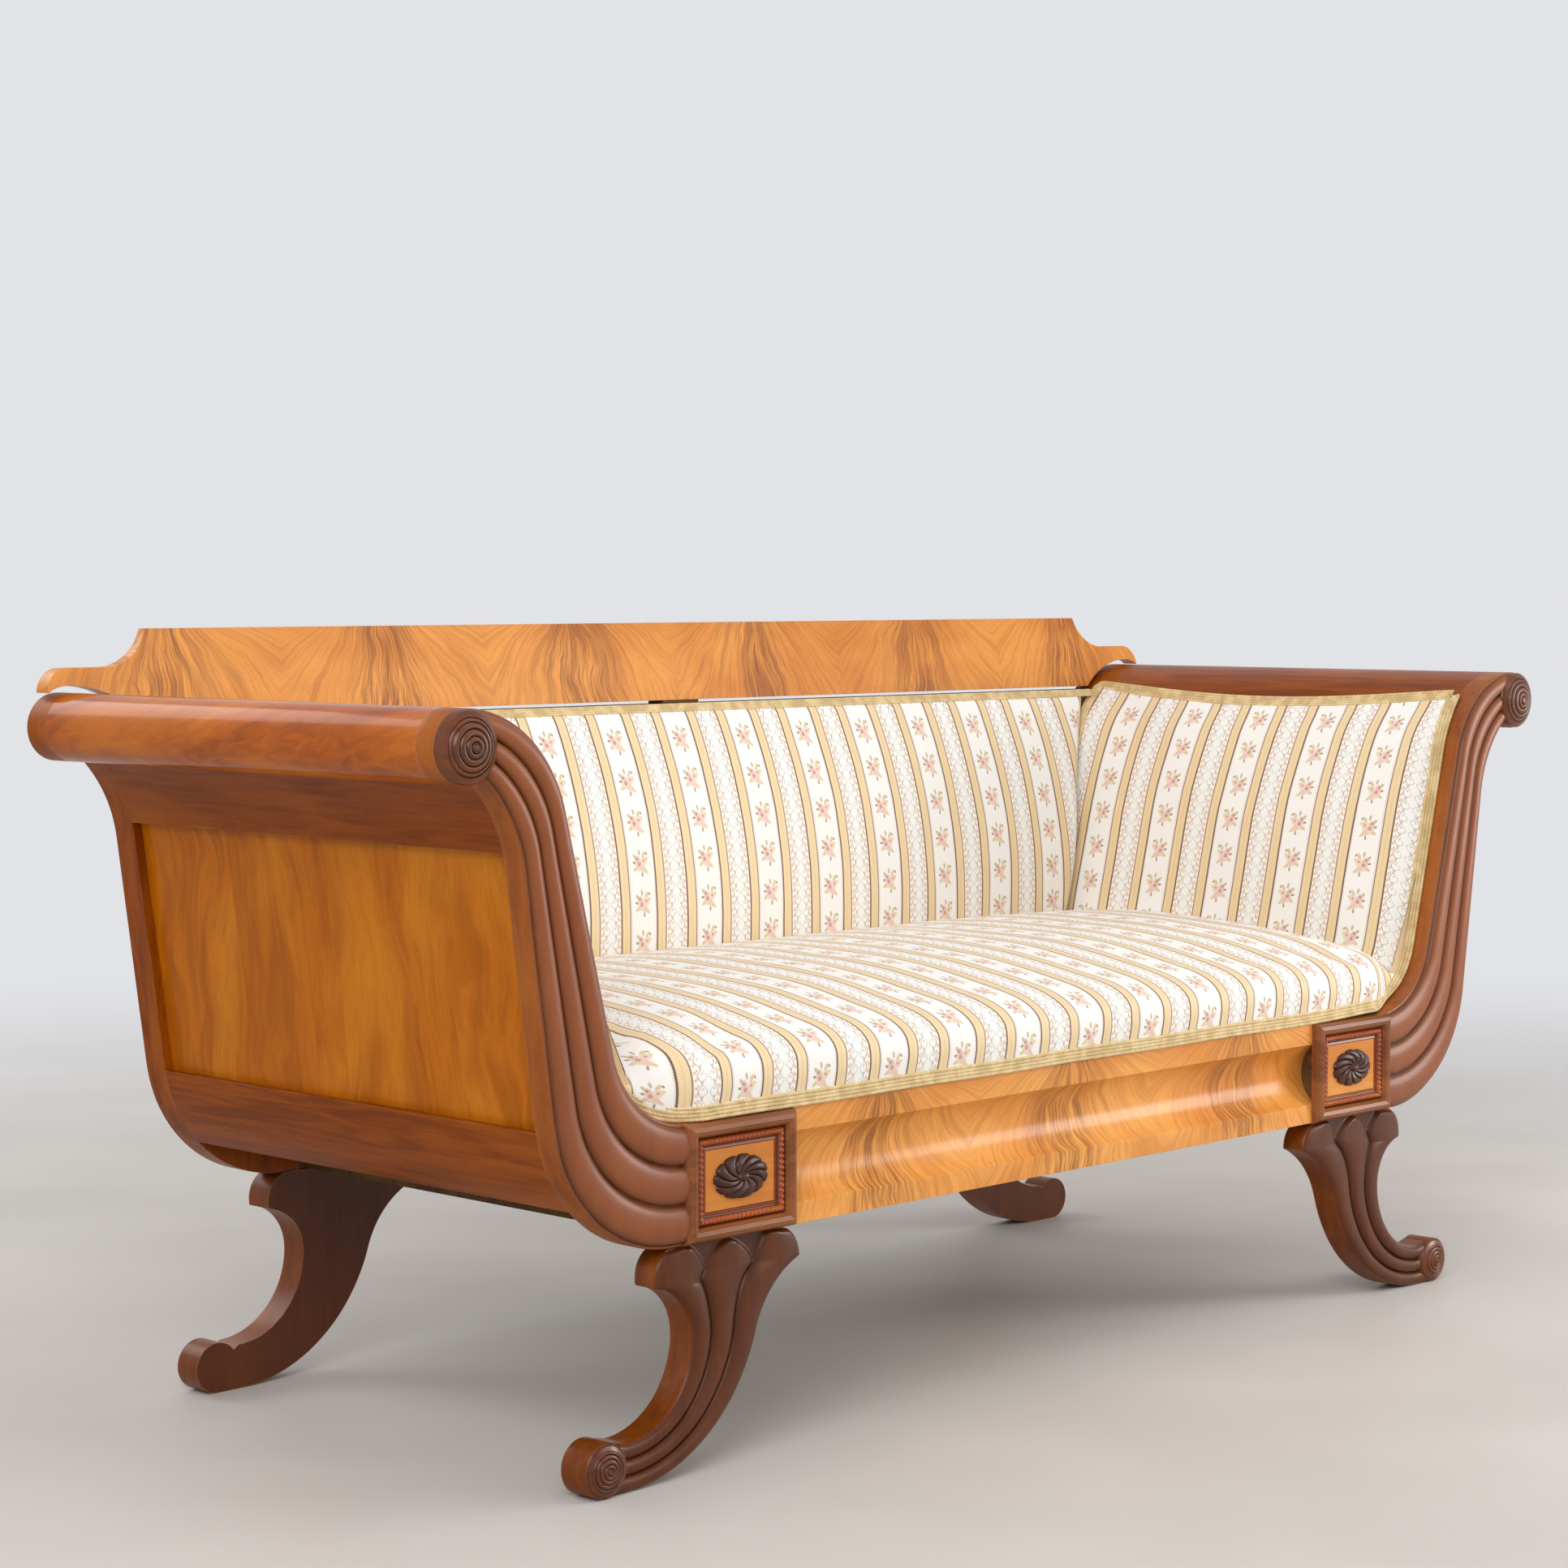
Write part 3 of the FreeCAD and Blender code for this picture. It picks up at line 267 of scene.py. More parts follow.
def worn(tree, radius):
    """1 along sharp edges and 0 on open faces."""
    flat = Val(new(tree, "NewGeometry"), "Normal")
    dot = new(tree, "VectorMath", enumerate((bevel(tree, radius), flat)), operation="DOT_PRODUCT")
    return Val(dot, "Value").ramp(0.97, 0.75)


# Woods
# Painted shade for carved hollows, in place of occlusion
HOLLOW_SHADE = (40, 19, 10)
BARE_EDGE = (214, 150, 92)
BARE_VENEER = (228, 166, 96)
FEATHER = (92, 48, 20)


def wood(name, tones, figure, rough=0.34, coat=0.06, wear=0.5, edge=1.0, contrast=0.6, front=None, spec=0.16,
         coat_rough=0.16):
    """Polished wood. tones are dark, middle and light, front a tint of painted shade for faces that look
    forwards;
    figure gives two ways across the grain and one along. The hollow attribute paints shade into carved
    hollows."""
    mat, tree, skin = surface(name, rough, coat, coat_rough, spec=spec)
    dark, middle, light = tones
    grain = figure(*place(tree))
    broad = cloud(grain, (0.012, 0.012, 0.003), 3.0, 0.6)
    band = cloud(grain, (0.075, 0.075, 0.006), 5.0, 0.9)
    pores = cloud(grain, (0.9, 0.9, 0.03), 2.0)
    tone = band.ramp(0.32, 0.68) * contrast + (1 - contrast) * 0.7
    colour = paint(dark, (tone, middle), (broad.ramp(0.4, 0.75) * 0.55, light),
                   (pores.ramp(0.5, 0.7) * 0.3, dark))
    # Painted shade: faces that look forwards are darkened by a tint
    if front:
        forward_shade = split(new(tree, "NewGeometry"), "Normal")[1].ramp(-0.25, -0.7)
        colour = paint(colour, (forward_shade * 0.66, front))
    # Painted shade: carved hollows darkened by the hollow attribute
    hollow = Val(new(tree, "Attribute", attribute_name="hollow"), "Fac")
    colour = paint(colour, (hollow * 0.8, HOLLOW_SHADE))
    if wear:
        scuff = cloud(grain, (0.05, 0.05, 0.02), 3.0)
        colour = paint(colour, (worn(tree, 2.2) * scuff.ramp(0.35, 0.7) * wear, BARE_EDGE))
    dress(skin, colour, pores * 0.6 + band * 0.4, 0.12, 0.5, edge)
    return mat


def along_x(x, y, z):
    return y, z, x


def along_y(x, y, z):
    return x, z, y


def along_z(x, y, z):
    return x, y, z


def slanting(x, y, z):
    """Grain that winds at a slant round a roll."""
    return x + y * 0.3, z + y * 0.22, y * 0.9 - x * 0.3


def boards(x, y, z):
    """Upright leaves side by side, each with its own piece of grain."""
    leaf = (y / 172.0).op("FLOOR")
    sway = cloud((y, leaf, z), (0.006, 0.2, 0.004), 2.0) - 0.5
    return y * 0.7 + sway * 90.0 + leaf * 9.0, x * 0.1 + leaf * 3.0, z * 1.2


def flame(name, tones, leaf, offset, root):
    """Matched leaves of crotch veneer: dark feathers whose arches open downwards."""
    mat, tree, skin = surface(name, 0.3, 0.1, 0.14, spec=0.2)
    dark, middle, light = tones
    x, y, z = place(tree)
    sway = cloud((x, y, z), (0.009, 0.01, 0.014), 2.0) - 0.5
    t = (x + offset + sway * 46.0).op("PINGPONG", leaf)
    drop = (z - root) * -1.0
    q = t / (drop * 0.2 + 1.0).op("SQRT")
    streak = cloud((q, drop, x), (0.42, 0.009, 0.003), 4.0, 0.4)
    fine = cloud((q, drop, x), (1.5, 0.02, 0.006), 3.0, 0.3)
    broad = cloud((x, y, z), (0.006, 0.01, 0.01), 2.0)
    pores = cloud((q, drop, x), (4.0, 0.12, 0.01), 2.0)
    feather = t.ramp(92.0, 14.0)
    colour = paint(
        middle, (broad.ramp(0.3, 0.7) * 0.75, light), (streak.ramp(0.42, 0.7) * 0.3, dark),
        (fine.ramp(0.45, 0.72) * 0.26, dark), (feather * streak.ramp(0.34, 0.64) * 0.44, dark),
        (feather * feather * fine.ramp(0.42, 0.66) * 0.5, FEATHER), (pores.ramp(0.55, 0.75) * 0.3, dark),
        (worn(tree, 2.0) * 0.35, BARE_VENEER))
    dress(skin, colour, fine, 0.1, 0.5, 1.0)
    return mat


# Cloths
def line(value, centre, half):
    """1 within half of a centre, with soft edges."""
    return (value - centre).abs().ramp(half, half * 0.4)


def blob(u, v, x, y, rx, ry, turn):
    """1 inside an oval at x, y with radii rx and ry, turned by degrees."""
    c, s = cos(radians(turn)), sin(radians(turn))
    dx, dy = u - x, v - y
    e = (dx * c + dy * s) / rx
    f = (dy * c - dx * s) / ry
    return (e * e + f * f).ramp(1.15, 0.6)


# Leaves, blooms and hearts of a sprig: place, radii, turn and colour
PETALS = (
    (8.0, 4.6, 3.0, 5.8, -62, (216, 198, 130)), (5.8, 11.2, 2.6, 5.4, -34, (202, 188, 122)),
    (-9.8, 9.0, 2.4, 4.8, 44, (180, 174, 124)), (-10.0, -6.2, 2.6, 5.0, 118, (208, 190, 126)),
    (7.6, -9.8, 2.4, 4.8, 52, (214, 194, 128)), (-1.8, 14.6, 1.9, 4.2, 8, (178, 158, 112)),
    (-2.6, -1.6, 8.2, 8.2, 14, (230, 198, 182)), (5.0, 3.2, 5.8, 6.4, 0, (234, 206, 190)),
    (-5.6, 5.8, 5.0, 5.0, 0, (222, 186, 168)), (3.2, -7.0, 5.2, 4.8, 0, (228, 194, 174)),
    (-3.2, -0.6, 3.2, 3.0, 20, (190, 136, 122)), (5.2, 3.8, 2.0, 2.2, 0, (198, 146, 130)),
    (-6.2, 6.4, 1.9, 1.9, 0, (172, 112, 100)), (-12.0, 1.8, 1.8, 2.8, 80, (142, 92, 80)),
    (1.0, -14.0, 1.6, 3.4, -8, (144, 108, 86)), (10.8, 12.6, 1.5, 2.4, 30, (150, 100, 86)),
)


def stripes(colour, p, along):
    """Dark edges of the gold bands, a light thread down each and a dotted line beside it."""
    a = p.abs()
    for edge, half, share in ((GOLD_IN, 1.9, 0.9), (-GOLD_OUT, 1.9, 0.9),
                              (-GOLD_IN, 1.4, 0.75), (GOLD_OUT, 1.4, 0.75)):
        colour = paint(colour, (line(p, edge, half) * share, (80, 46, 38)))
    dots = along.mod(3.4) - 1.7
    return paint(colour, (line(a, 31.8, 1.6) * 0.2, (206, 160, 92)),
                 (line(a, 21.6, 1.2) * line(dots, 0.0, 1.2) * 0.75, (226, 184, 168)))


def sprigs(colour, p, along):
    """A sprig of blooms over and over down the pale band."""
    v = along.mod(SPRIG_REPEAT) - SPRIG_REPEAT / 2
    return paint(colour, *[(blob(p, v, *oval) * 0.78, tint) for *oval, tint in PETALS])


def lace(colour, p, along):
    """Chained vines in the lace band, with a row of small flowers along each edge."""
    off = (p - p.op("SIGN") * (STRIPE_REPEAT / 2)).abs()
    turn = along.wave(LACE_REPEAT)
    cells = line(off - turn * 2.8, 4.8, 1.0) * (along.mod(2.9) - 1.4).abs().ramp(0.1, 0.6)
    bud = (along + 4.3).mod(LACE_REPEAT / 2) - 4.3
    return paint(
        colour, (cells * 0.7, (170, 176, 158)),
        (line(off + turn * 2.2, 11.0, 1.1) * 0.75, (186, 152, 138)),
        (blob(off, bud, 15.4, 0.0, 2.1, 2.1, 0) * 0.85, (236, 180, 122)),
        (blob(off, bud, 13.0, 2.4, 1.0, 1.8, -40) * 0.7, (190, 150, 116)),
        (blob(off, bud, 7.6, -1.6, 1.2, 2.0, 35) * 0.65, (170, 176, 160)))


def fabric():
    """Woven stripes from the weave attribute: across and along the cloth, in millimetres."""
    mat, tree, skin = surface("striped_fabric", 0.78, sheen=0.12, spec=0.25)
    across, along, _ = split(new(tree, "Attribute", attribute_name="weave"), "Vector")
    wobble = cloud((across, along), (0.02, 0.02), 1.0) - 0.5
    thread = cloud((across, along), (1.7, 1.7), 2.0)
    p = (across + wobble * 1.4 + STRIPE_REPEAT / 2).mod(STRIPE_REPEAT) - STRIPE_REPEAT / 2
    a = p.abs()
    gold = a.ramp(GOLD_IN - 0.4, GOLD_IN + 0.4) * a.ramp(GOLD_OUT + 0.3, GOLD_OUT - 0.5)
    ground = thread.ramp(0.35, 0.7).mix((237, 233, 227), (250, 248, 245))
    gold_ground = thread.ramp(0.3, 0.75).mix((226, 196, 146), (243, 223, 184))
    colour = gold.mix(ground, gold_ground)
    for draw in (stripes, sprigs, lace):
        colour = draw(colour, p, along)
    put(skin.inputs["Roughness"], gold * -0.34 + 0.8)
    rib = along.wave(THREAD_PITCH) * 0.3 + across.wave(THREAD_PITCH) * 0.3
    dress(skin, colour, rib + thread, 0.18, 0.6)
    return mat


def braid_cloth():
    mat, tree, skin = surface("gimp_braid", 0.7, sheen=0.15, spec=0.3)
    where = place(tree)
    patch = cloud(where, (0.06, 0.06, 0.06), 2.0)
    hair = cloud(where, (1.2, 1.2, 1.2), 3.0)
    colour = patch.ramp(0.35, 0.7).mix((204, 176, 124), (230, 206, 156))
    colour = paint(colour, (hair.ramp(0.5, 0.75) * 0.5, (142, 108, 66)))
    dress(skin, colour, hair, 0.3, 0.7)
    return mat


def sacking(name, dark, light, pitch):
    """Plain weave of coarse yarn, square to the axes."""
    mat, tree, skin = surface(name, 0.9, sheen=0.1, spec=0.2)
    x, y, z = place(tree)
    hair = cloud((x, y, z), (0.5, 0.5, 0.5), 3.0)
    yarn = x.wave(pitch) * z.wave(pitch) + y.wave(pitch) * 0.5
    colour = yarn.ramp(-0.8, 0.8).mix(dark, light)
    colour = paint(colour, (hair.ramp(0.45, 0.75) * 0.5, dark))
    dress(skin, colour, yarn * 0.5 + hair, 0.35, 0.6)
    return mat


# Looks: dark, middle and light tones of each wood, and the wood of each node that shows
FLAME = ((134, 68, 16), (206, 124, 42), (232, 156, 70))
PALE_FLAME = ((150, 80, 22), (222, 142, 60), (244, 176, 92))
GOLDEN = ((148, 74, 2), (190, 106, 10), (216, 138, 30))
RED = ((98, 40, 2), (148, 72, 6), (178, 96, 18))
CARVED = ((112, 52, 8), (154, 80, 16), (184, 106, 34))
TURNED = ((62, 28, 10), (106, 52, 20), (140, 78, 36))
FOOT = ((88, 38, 4), (126, 62, 10), (154, 86, 24))
ROLL = ((128, 56, 2), (182, 90, 4), (212, 124, 24))
MOULDING = ((96, 50, 22), (138, 78, 36), (170, 106, 56))
RIPPLE = ((126, 44, 10), (180, 82, 24), (214, 122, 48))
MAPLE = ((180, 104, 38), (214, 136, 56), (234, 164, 84))
DARK = ((48, 22, 14), (84, 46, 34), (114, 68, 50))
OLD_PINE = ((70, 46, 26), (104, 74, 44), (128, 96, 60))
# Painted shade for the forward faces of the stiles and feet
STILE_FRONT_SHADE = (132, 76, 50)
FOOT_FRONT_SHADE = (68, 36, 23)
looks = {
    "crest": flame("flame_crest", FLAME, 165.0, 168.0, 926.0),
    "apron": flame("flame_apron", PALE_FLAME, 171.0, 0.0, 396.0),
    "panel": wood("end_panel_veneer", GOLDEN, boards, 0.36, 0.04, contrast=0.58, spec=0.1),
    "roll": wood("roll_veneer", ROLL, slanting, 0.22, 0.3, contrast=0.55, spec=0.08, coat_rough=0.07),
    "rail": wood("red_rail_veneer", RED, along_y, coat=0.03, spec=0.1),
    "post": wood("post_veneer", RED, along_z, coat=0.03, spec=0.1),
    "carved": wood("carved_mahogany", CARVED, along_z, 0.36, 0.08, 0.7, 0.4, 0.5, STILE_FRONT_SHADE, 0.24),
    "foot": wood("foot_mahogany", FOOT, along_z, 0.36, 0.08, 0.7, 0.4, 0.5, FOOT_FRONT_SHADE, 0.2),
    "frame": wood("frame_moulding", MOULDING, along_x, 0.32, 0.1, 0.7, 0.6, spec=0.24),
    "turned": wood("turned_mahogany", TURNED, along_x, 0.28, 0.2, 0.0, 0.0, spec=0.3),
    "ripple": wood("ripple_moulding", RIPPLE, along_x, 0.28, 0.2, 0.0, 0.0, 0.4, spec=0.3),
    "maple": wood("light_panel", MAPLE, along_x, 0.34, 0.1, 0.0, 0.3, 0.35),
    "dark": wood("dark_carving", DARK, along_x, 0.36, 0.1, 0.0, 0.0, spec=0.26),
    "pine": wood("old_pine", OLD_PINE, along_x, 0.7, 0.0, 0.0),
    "fabric": fabric(),
    "braid": braid_cloth(),
    "jute": sacking("jute_webbing", (124, 96, 58), (176, 146, 98), 3.0),
    "hessian": sacking("hessian", (140, 112, 72), (190, 164, 118), 2.2),
}
node_looks = {
    "crest_rail": "crest", "front_rail": "apron", "end_panel": "panel", "arm_roll": "roll",
    "end_top_rail": "rail", "end_bottom_rail": "rail", "arm_cap_rail": "rail", "rear_stile": "post",
    "rear_foot": "foot", "block_frame": "frame", "block_panel": "maple",
}
for name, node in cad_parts.items():
    look = node_looks.get(name.replace("_left", "").replace("_right", ""), "pine")
    node.data.materials.clear()
    node.data.materials.append(looks[look])


# Meshes
def add_object(name, data, spot=(0.0, 0.0, 0.0), direction=None):
    """A new object in the scene; lamps and cameras look along a direction."""
    obj = bpy.data.objects.new(name, data)
    obj.location = spot
    if direction:
        obj.rotation_euler = direction.to_track_quat("-Z", "Y").to_euler()
    SCENE.collection.objects.link(obj)
    return obj


class Form:
    """The points and faces of a piece as it grows, and from 0 to 1 how much painted shade darkens each point
    in its hollows.
    """

    def __init__(self):
        self.verts = []
        self.faces = []
        self.hollow = []

    def rows(self, points, cols, hollow=(), closed=True):
        """Adds points in rows of cols with quads between them; closed rows are loops, capped at the ends."""
        start = len(self.verts)
        count = len(points) // cols
        for row in range(start, start + (count - 1) * cols, cols):
            for c in range(cols if closed else cols - 1):
                d = (c + 1) % cols
                self.faces.append((row + c, row + d, row + cols + d, row + cols + c))
        if closed:
            for first in (start, start + (count - 1) * cols):
                self.faces.append(tuple(range(first, first + cols)))
        self.verts += points
        self.hollow += hollow

    def turned(self, side, centre, profile, steps):
        """Adds a turned form on one side, from the radius, the y and the hollow of each circle."""
        points, hollow = [], []
        for r, y, sunk in profile:
            hollow += [sunk] * steps
            for k in range(steps):
                a = TAU * k / steps
                points.append((side * (centre[0] + r * cos(a)), y, centre[1] + r * sin(a)))
        self.rows(points, steps, hollow)

    def board(self, side, rows):
        """Adds a carved board from rows of an inner point, an outer point and the section between them:
        shares of the way across, y and hollow."""
        points, hollow = [], []
        for (ix, iz), (ox, oz), section in rows:
            for share, y, sunk in section:
                points.append((side * lerp(ix, ox, share), y, lerp(iz, oz, share)))
                hollow.append(sunk)
        self.rows(points, len(points) // len(rows), hollow)


def piece(name, form, look, node, weave=None):
    """A new mesh piece from a form in millimetres, riding on the sofa and standing for its node.
    weave places its cloth pattern."""
    mesh = bpy.data.meshes.new(name)
    mesh.from_pydata([Vector(v) * MM for v in form.verts], [], form.faces)
    if weave:
        attr = mesh.attributes.new("weave", "FLOAT_VECTOR", "POINT")
        for k, (u, v) in enumerate(weave):
            attr.data[k].vector = (u, v, 0.0)
    if form.hollow:
        mesh.attributes.new("hollow", "FLOAT", "POINT").data.foreach_set("value", form.hollow)
    work = bmesh.new()
    work.from_mesh(mesh)
    bmesh.ops.recalc_face_normals(work, faces=work.faces)
    for face in work.faces:
        face.smooth = True
    for e in work.edges:
        if len(e.link_faces) == 2:
            e.smooth = e.calc_face_angle() < radians(50)
    work.to_mesh(mesh)
    work.free()
    obj = add_object(name, mesh)
    mesh.materials.append(looks[look])
    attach(obj, "root")
    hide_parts(node)
    return obj


class Sweep:
    """An S of two arcs and the straight between them, seen from the front; slope and end are in degrees."""

    def __init__(self, low, low_r, top, top_r, slope, end=0.0, lead=None):
        self.low, self.low_r = low, low_r
        self.top, self.top_r = top, top_r
        self.slope = radians(slope)
        self.end = radians(end)
        self.lead = lead

    def on_low(self, h, d=0.0):
        r = self.low_r - d
        return (self.low[0] + r * sin(h), self.low[1] - r * cos(h)), h

    def on_top(self, h, d=0.0):
        r = self.top_r + d
        return (self.top[0] - r * sin(h), self.top[1] + r * cos(h)), h

    def part(self, t, d=0.0):
        """A point moved in by d and its heading at a share t of the way: a third each on the lower arc,
        with the level lead before it, the straight and the upper arc."""
        if t < 1 / 3:
            if self.lead is None:
                return self.on_low(3 * t * self.slope, d)
            level = self.low[0] - self.lead
            gone = 3 * t * (level + self.low_r * self.slope)
            if gone < level:
                return (self.lead + gone, self.low[1] - self.low_r + d), 0.0
            return self.on_low((gone - level) / self.low_r, d)
        if t < 2 / 3:
            s = 3 * t - 1
            p, h = self.on_low(self.slope, d)
            q, _ = self.on_top(self.slope, d)
            return (lerp(p[0], q[0], s), lerp(p[1], q[1], s)), h
        return self.on_top(lerp(self.slope, self.end, 3 * t - 2), d)


INNER = Sweep(low=(STILE_X, RAIL_TOP + 112.0), low_r=112.0, top=(ROLL_AT[0], ROLL_AT[1] + ROLL_R - 140.0),
              top_r=140.0, slope=75.55)
OUTER = Sweep(low=(675.0, FOOT_H + 170.0), low_r=170.0, top=(ROLL_AT[0] + 78.6, ROLL_AT[1] - 153.2),
              top_r=160.0, slope=81.95, end=36.0, lead=STILE_X)


def inner_t(z, d):
    """The share of the way up the arm's inner sweep, moved in by d, at a height."""
    low, high = 0.0, 1.0
    for _ in range(40):
        mid = (low + high) / 2
        if INNER.part(mid, d)[0][1] < z:
            low = mid
        else:
            high = mid
    return low


def inner_x(z, d):
    return INNER.part(inner_t(z, d), d)[0][0]


# Carved and turned pieces
def bosses(name, centre, radius, y0, base, dome, grooves, depth, node):
    """Domed bosses on both sides, with half-round rings sunk between the radii given."""
    # The third value of each circle paints shade at the rim and into the sunk rings
    profile = [(radius, y0, 0.3), (radius, y0 - base + 1.0, 0.0), (radius - 1.0, y0 - base, 0.0)]
    r = radius - 1.0
    while r > 0.35:
        crown = dome * (1 - (r / radius) ** 2)
        sunk = 0.0
        for low, high in zip(grooves[:-1], grooves[1:]):
            if low <= r <= high:
                share = (2 * r - low - high) / (high - low)
                sunk = depth * (1 - sqrt(max(0.0, 1 - share * share)))
        profile.append((r, y0 - base - crown + sunk, sunk / depth))
        r -= 0.45
    form = Form()
    for side, _ in SIDES:
        form.turned(side, centre, profile, 96)
    piece(name, form, "turned", node)


def reed_bow(f):
    """Height of a half-round reed at a share of the way across it."""
    return (1 - (2 * f - 1) ** 2) ** 0.5


def stile_section(width):
    """The section of a stile: square edges and half-round reeds."""
    edge = REED_EDGE / width
    rise = REED_RISE * min(1.0, width / REED_FULL_W)
    # The third value of each point paints shade: a little at the edges, and in the grooves between reeds
    rim = [(0.0, BOARD_BACK_Y, 0.0), (0.0, FACE_Y + 1.0, 0.0), (0.008, FACE_Y, 0.0),
           (edge, FACE_Y - 0.6, 0.4)]
    section = list(rim)
    for reed in range(REEDS):
        for c in range(1 if reed else 0, REED_COLS + 1):
            f = c / REED_COLS
            share = edge + (1 - 2 * edge) * (reed + f) / REEDS
            section.append((share, FACE_Y - 1.0 - rise * reed_bow(f), (1 - reed_bow(f)) ** 1.5))
    return section + [(1 - share, y, sunk) for share, y, sunk in reversed(rim)]


def front_stile(side, label):
    rows = []
    for t in spread(0.0, 1.0, 109):
        inner, outer = INNER.part(t)[0], OUTER.part(t)[0]
        rows.append((inner, outer, stile_section(dist(inner, outer))))
    form = Form()
    form.board(side, rows)
    roll_end = ((ROLL_R, BOARD_BACK_Y, 0.0), (ROLL_R, FACE_Y + 0.5, 0.0), (ROLL_R - 0.8, FACE_Y - 0.5, 0.0))
    form.turned(side, ROLL_AT, roll_end, 64)
    piece("stile_front_" + label, form, "carved", "front_stile_" + label)


def polar(centre, r, degrees):
    a = radians(degrees)
    return (centre[0] + r * cos(a), centre[1] + r * sin(a))


def along_path(parts, count):
    """Evenly spaced points on a chain of parts: an arc is its centre, radius and two angles in degrees,
    a bowed line its start, its end and its bow."""
    dense = []
    for part in parts:
        for s in spread(0.0, 1.0, 60):
            if len(part) == 4:
                dense.append(polar(part[0], part[1], lerp(part[2], part[3], s)))
            else:
                (x0, z0), (x1, z1), bow = part
                bulge = 4 * bow * s * (1 - s)
                dense.append((lerp(x0, x1, s) - bulge * (z1 - z0), lerp(z0, z1, s) + bulge * (x1 - x0)))
    gone = [0.0]
    for p, q in zip(dense[:-1], dense[1:]):
        gone.append(gone[-1] + dist(p, q))
    out, k = [], 0
    for n in range(count):
        want = gone[-1] * n / (count - 1)
        while k < len(gone) - 2 and gone[k + 1] < want:
            k += 1
        span = gone[k + 1] - gone[k]
        s = (want - gone[k]) / span if span else 0.0
        out.append(tuple(lerp(a, b, s) for a, b in zip(dense[k], dense[k + 1])))
    return out


def foot_section(run, width):
    """The section of a foot at a run from its top, where the reeds start as pointed petals."""
    steps = 72
    slim = min(1.0, width / 60.0)
    section = [(0.0, FOOT_BACK_Y, 0.0), (0.0, FOOT_FACE_Y + 1.0, 0.0)]
    for c in range(steps + 1):
        f = c / steps
        reed = min(f * REEDS, REEDS - 0.0001) % 1.0
        at_edge = f < 1 / 6 or f > 5 / 6
        tip = 2.0 + (3.0 if at_edge else 27.0) * abs(2 * reed - 1) ** 1.8
        start = ease(run - tip, 0.0, 3.0)
        bow = reed_bow(reed)
        swell = 1.0 if run > 60 else 0.75 + 0.25 * min(1.0, max(0.0, (run - tip) / 40.0))
        rise = start * (2.2 * bow ** 0.4 + 6.8 * slim * swell * bow)
        # Painted shade in the grooves, and over the petals' points before the reeds start
        sunk = 0.0 if f < 0.04 or f > 0.96 else start * (1 - bow) ** 1.5 + (1 - start) * 0.35
        section.append((f, FOOT_FACE_Y - rise, sunk))
    return section + [(1.0, FOOT_FACE_Y + 1.0, 0.0), (1.0, FOOT_BACK_Y, 0.0)]


def front_foot(side, label):
    count = 120
    inner = along_path([((FOOT_IN_X, FOOT_H), polar(SHIN_AT, SHIN_R, SHIN_TOP), -0.2),
                        (SHIN_AT, SHIN_R, SHIN_TOP, 18.0), (SOLE_AT, SOLE_R, 198.0, 270.0),
                        ((SOLE_AT[0], 0.0), (TOE_AT[0], 0.0), 0.0)], count)
    outer = along_path([((FOOT_OUT_X, FOOT_H), polar(HIP_AT, HIP_R, HIP_TOP), 0.2),
                        (HIP_AT, HIP_R, HIP_TOP, 180.0), (INSTEP_AT, INSTEP_R, 180.0, 270.0),
                        ((INSTEP_AT[0], INSTEP_AT[1] - INSTEP_R), (TOE_AT[0], 2 * TOE_R), 0.0)], count)
    rows = []
    run, last = 0.0, None
    for p, q in zip(inner, outer):
        middle = ((p[0] + q[0]) / 2, (p[1] + q[1]) / 2)
        if last:
            run += dist(middle, last)
        last = middle
        rows.append((p, q, foot_section(run, dist(p, q))))
    form = Form()
    form.board(side, rows)
    toe = ((TOE_R, FOOT_BACK_Y, 0.0), (TOE_R, TOE_FACE_Y + 1.5, 0.0), (TOE_R - 1.2, TOE_FACE_Y, 0.0))
    form.turned(side, TOE_AT, toe, 72)
    piece("foot_front_" + label, form, "foot", "front_foot_" + label)


def flower_y(rho, lobe):
    """Depth of a flower at a share of its radius: twisted petals round a small boss."""
    if rho == 1.0:
        return FACE_Y - 3.0
    if rho < FLOWER_BOSS:
        return FACE_Y - 9.0 - 4.5 * (1 - (rho / FLOWER_BOSS) ** 2) ** 0.5
    swell = (1 - rho ** 2.6) ** 0.5
    return FACE_Y - 4.0 - FLOWER_RISE * swell * (0.42 + 0.58 * lobe ** 0.55) * min(1.0, 0.35 + 1.1 * rho)


def flowers():
    """An oval whirl of twisted petals on each corner block."""
    circle_count, spokes = 30, 240
    form = Form()
    for side, _ in SIDES:
        points, hollow = [], []
        for k in range(circle_count):
            rho = 1 - k / circle_count
            for s in range(spokes):
                a = TAU * s / spokes
                turn = a * FLOWER_PETALS + FLOWER_TWIST * (1 - rho)
                lobe = abs(cos(turn / 2 - 0.5 * sin(turn)))
                reach = rho * (1 - 0.1 * (1 - lobe) * rho)
                x = BLOCK_AT[0] + FLOWER_HALF[0] * reach * cos(a)
                z = BLOCK_AT[1] + FLOWER_HALF[1] * reach * sin(a)
                points.append((side * x, flower_y(rho, lobe), z))
                # Painted shade between the petals
                hollow.append(0.0 if rho < FLOWER_BOSS else (1 - lobe ** 0.55) * 0.9)
        form.rows(points, spokes, hollow)
    piece("whirl_flowers", form, "dark", "block_flowers")


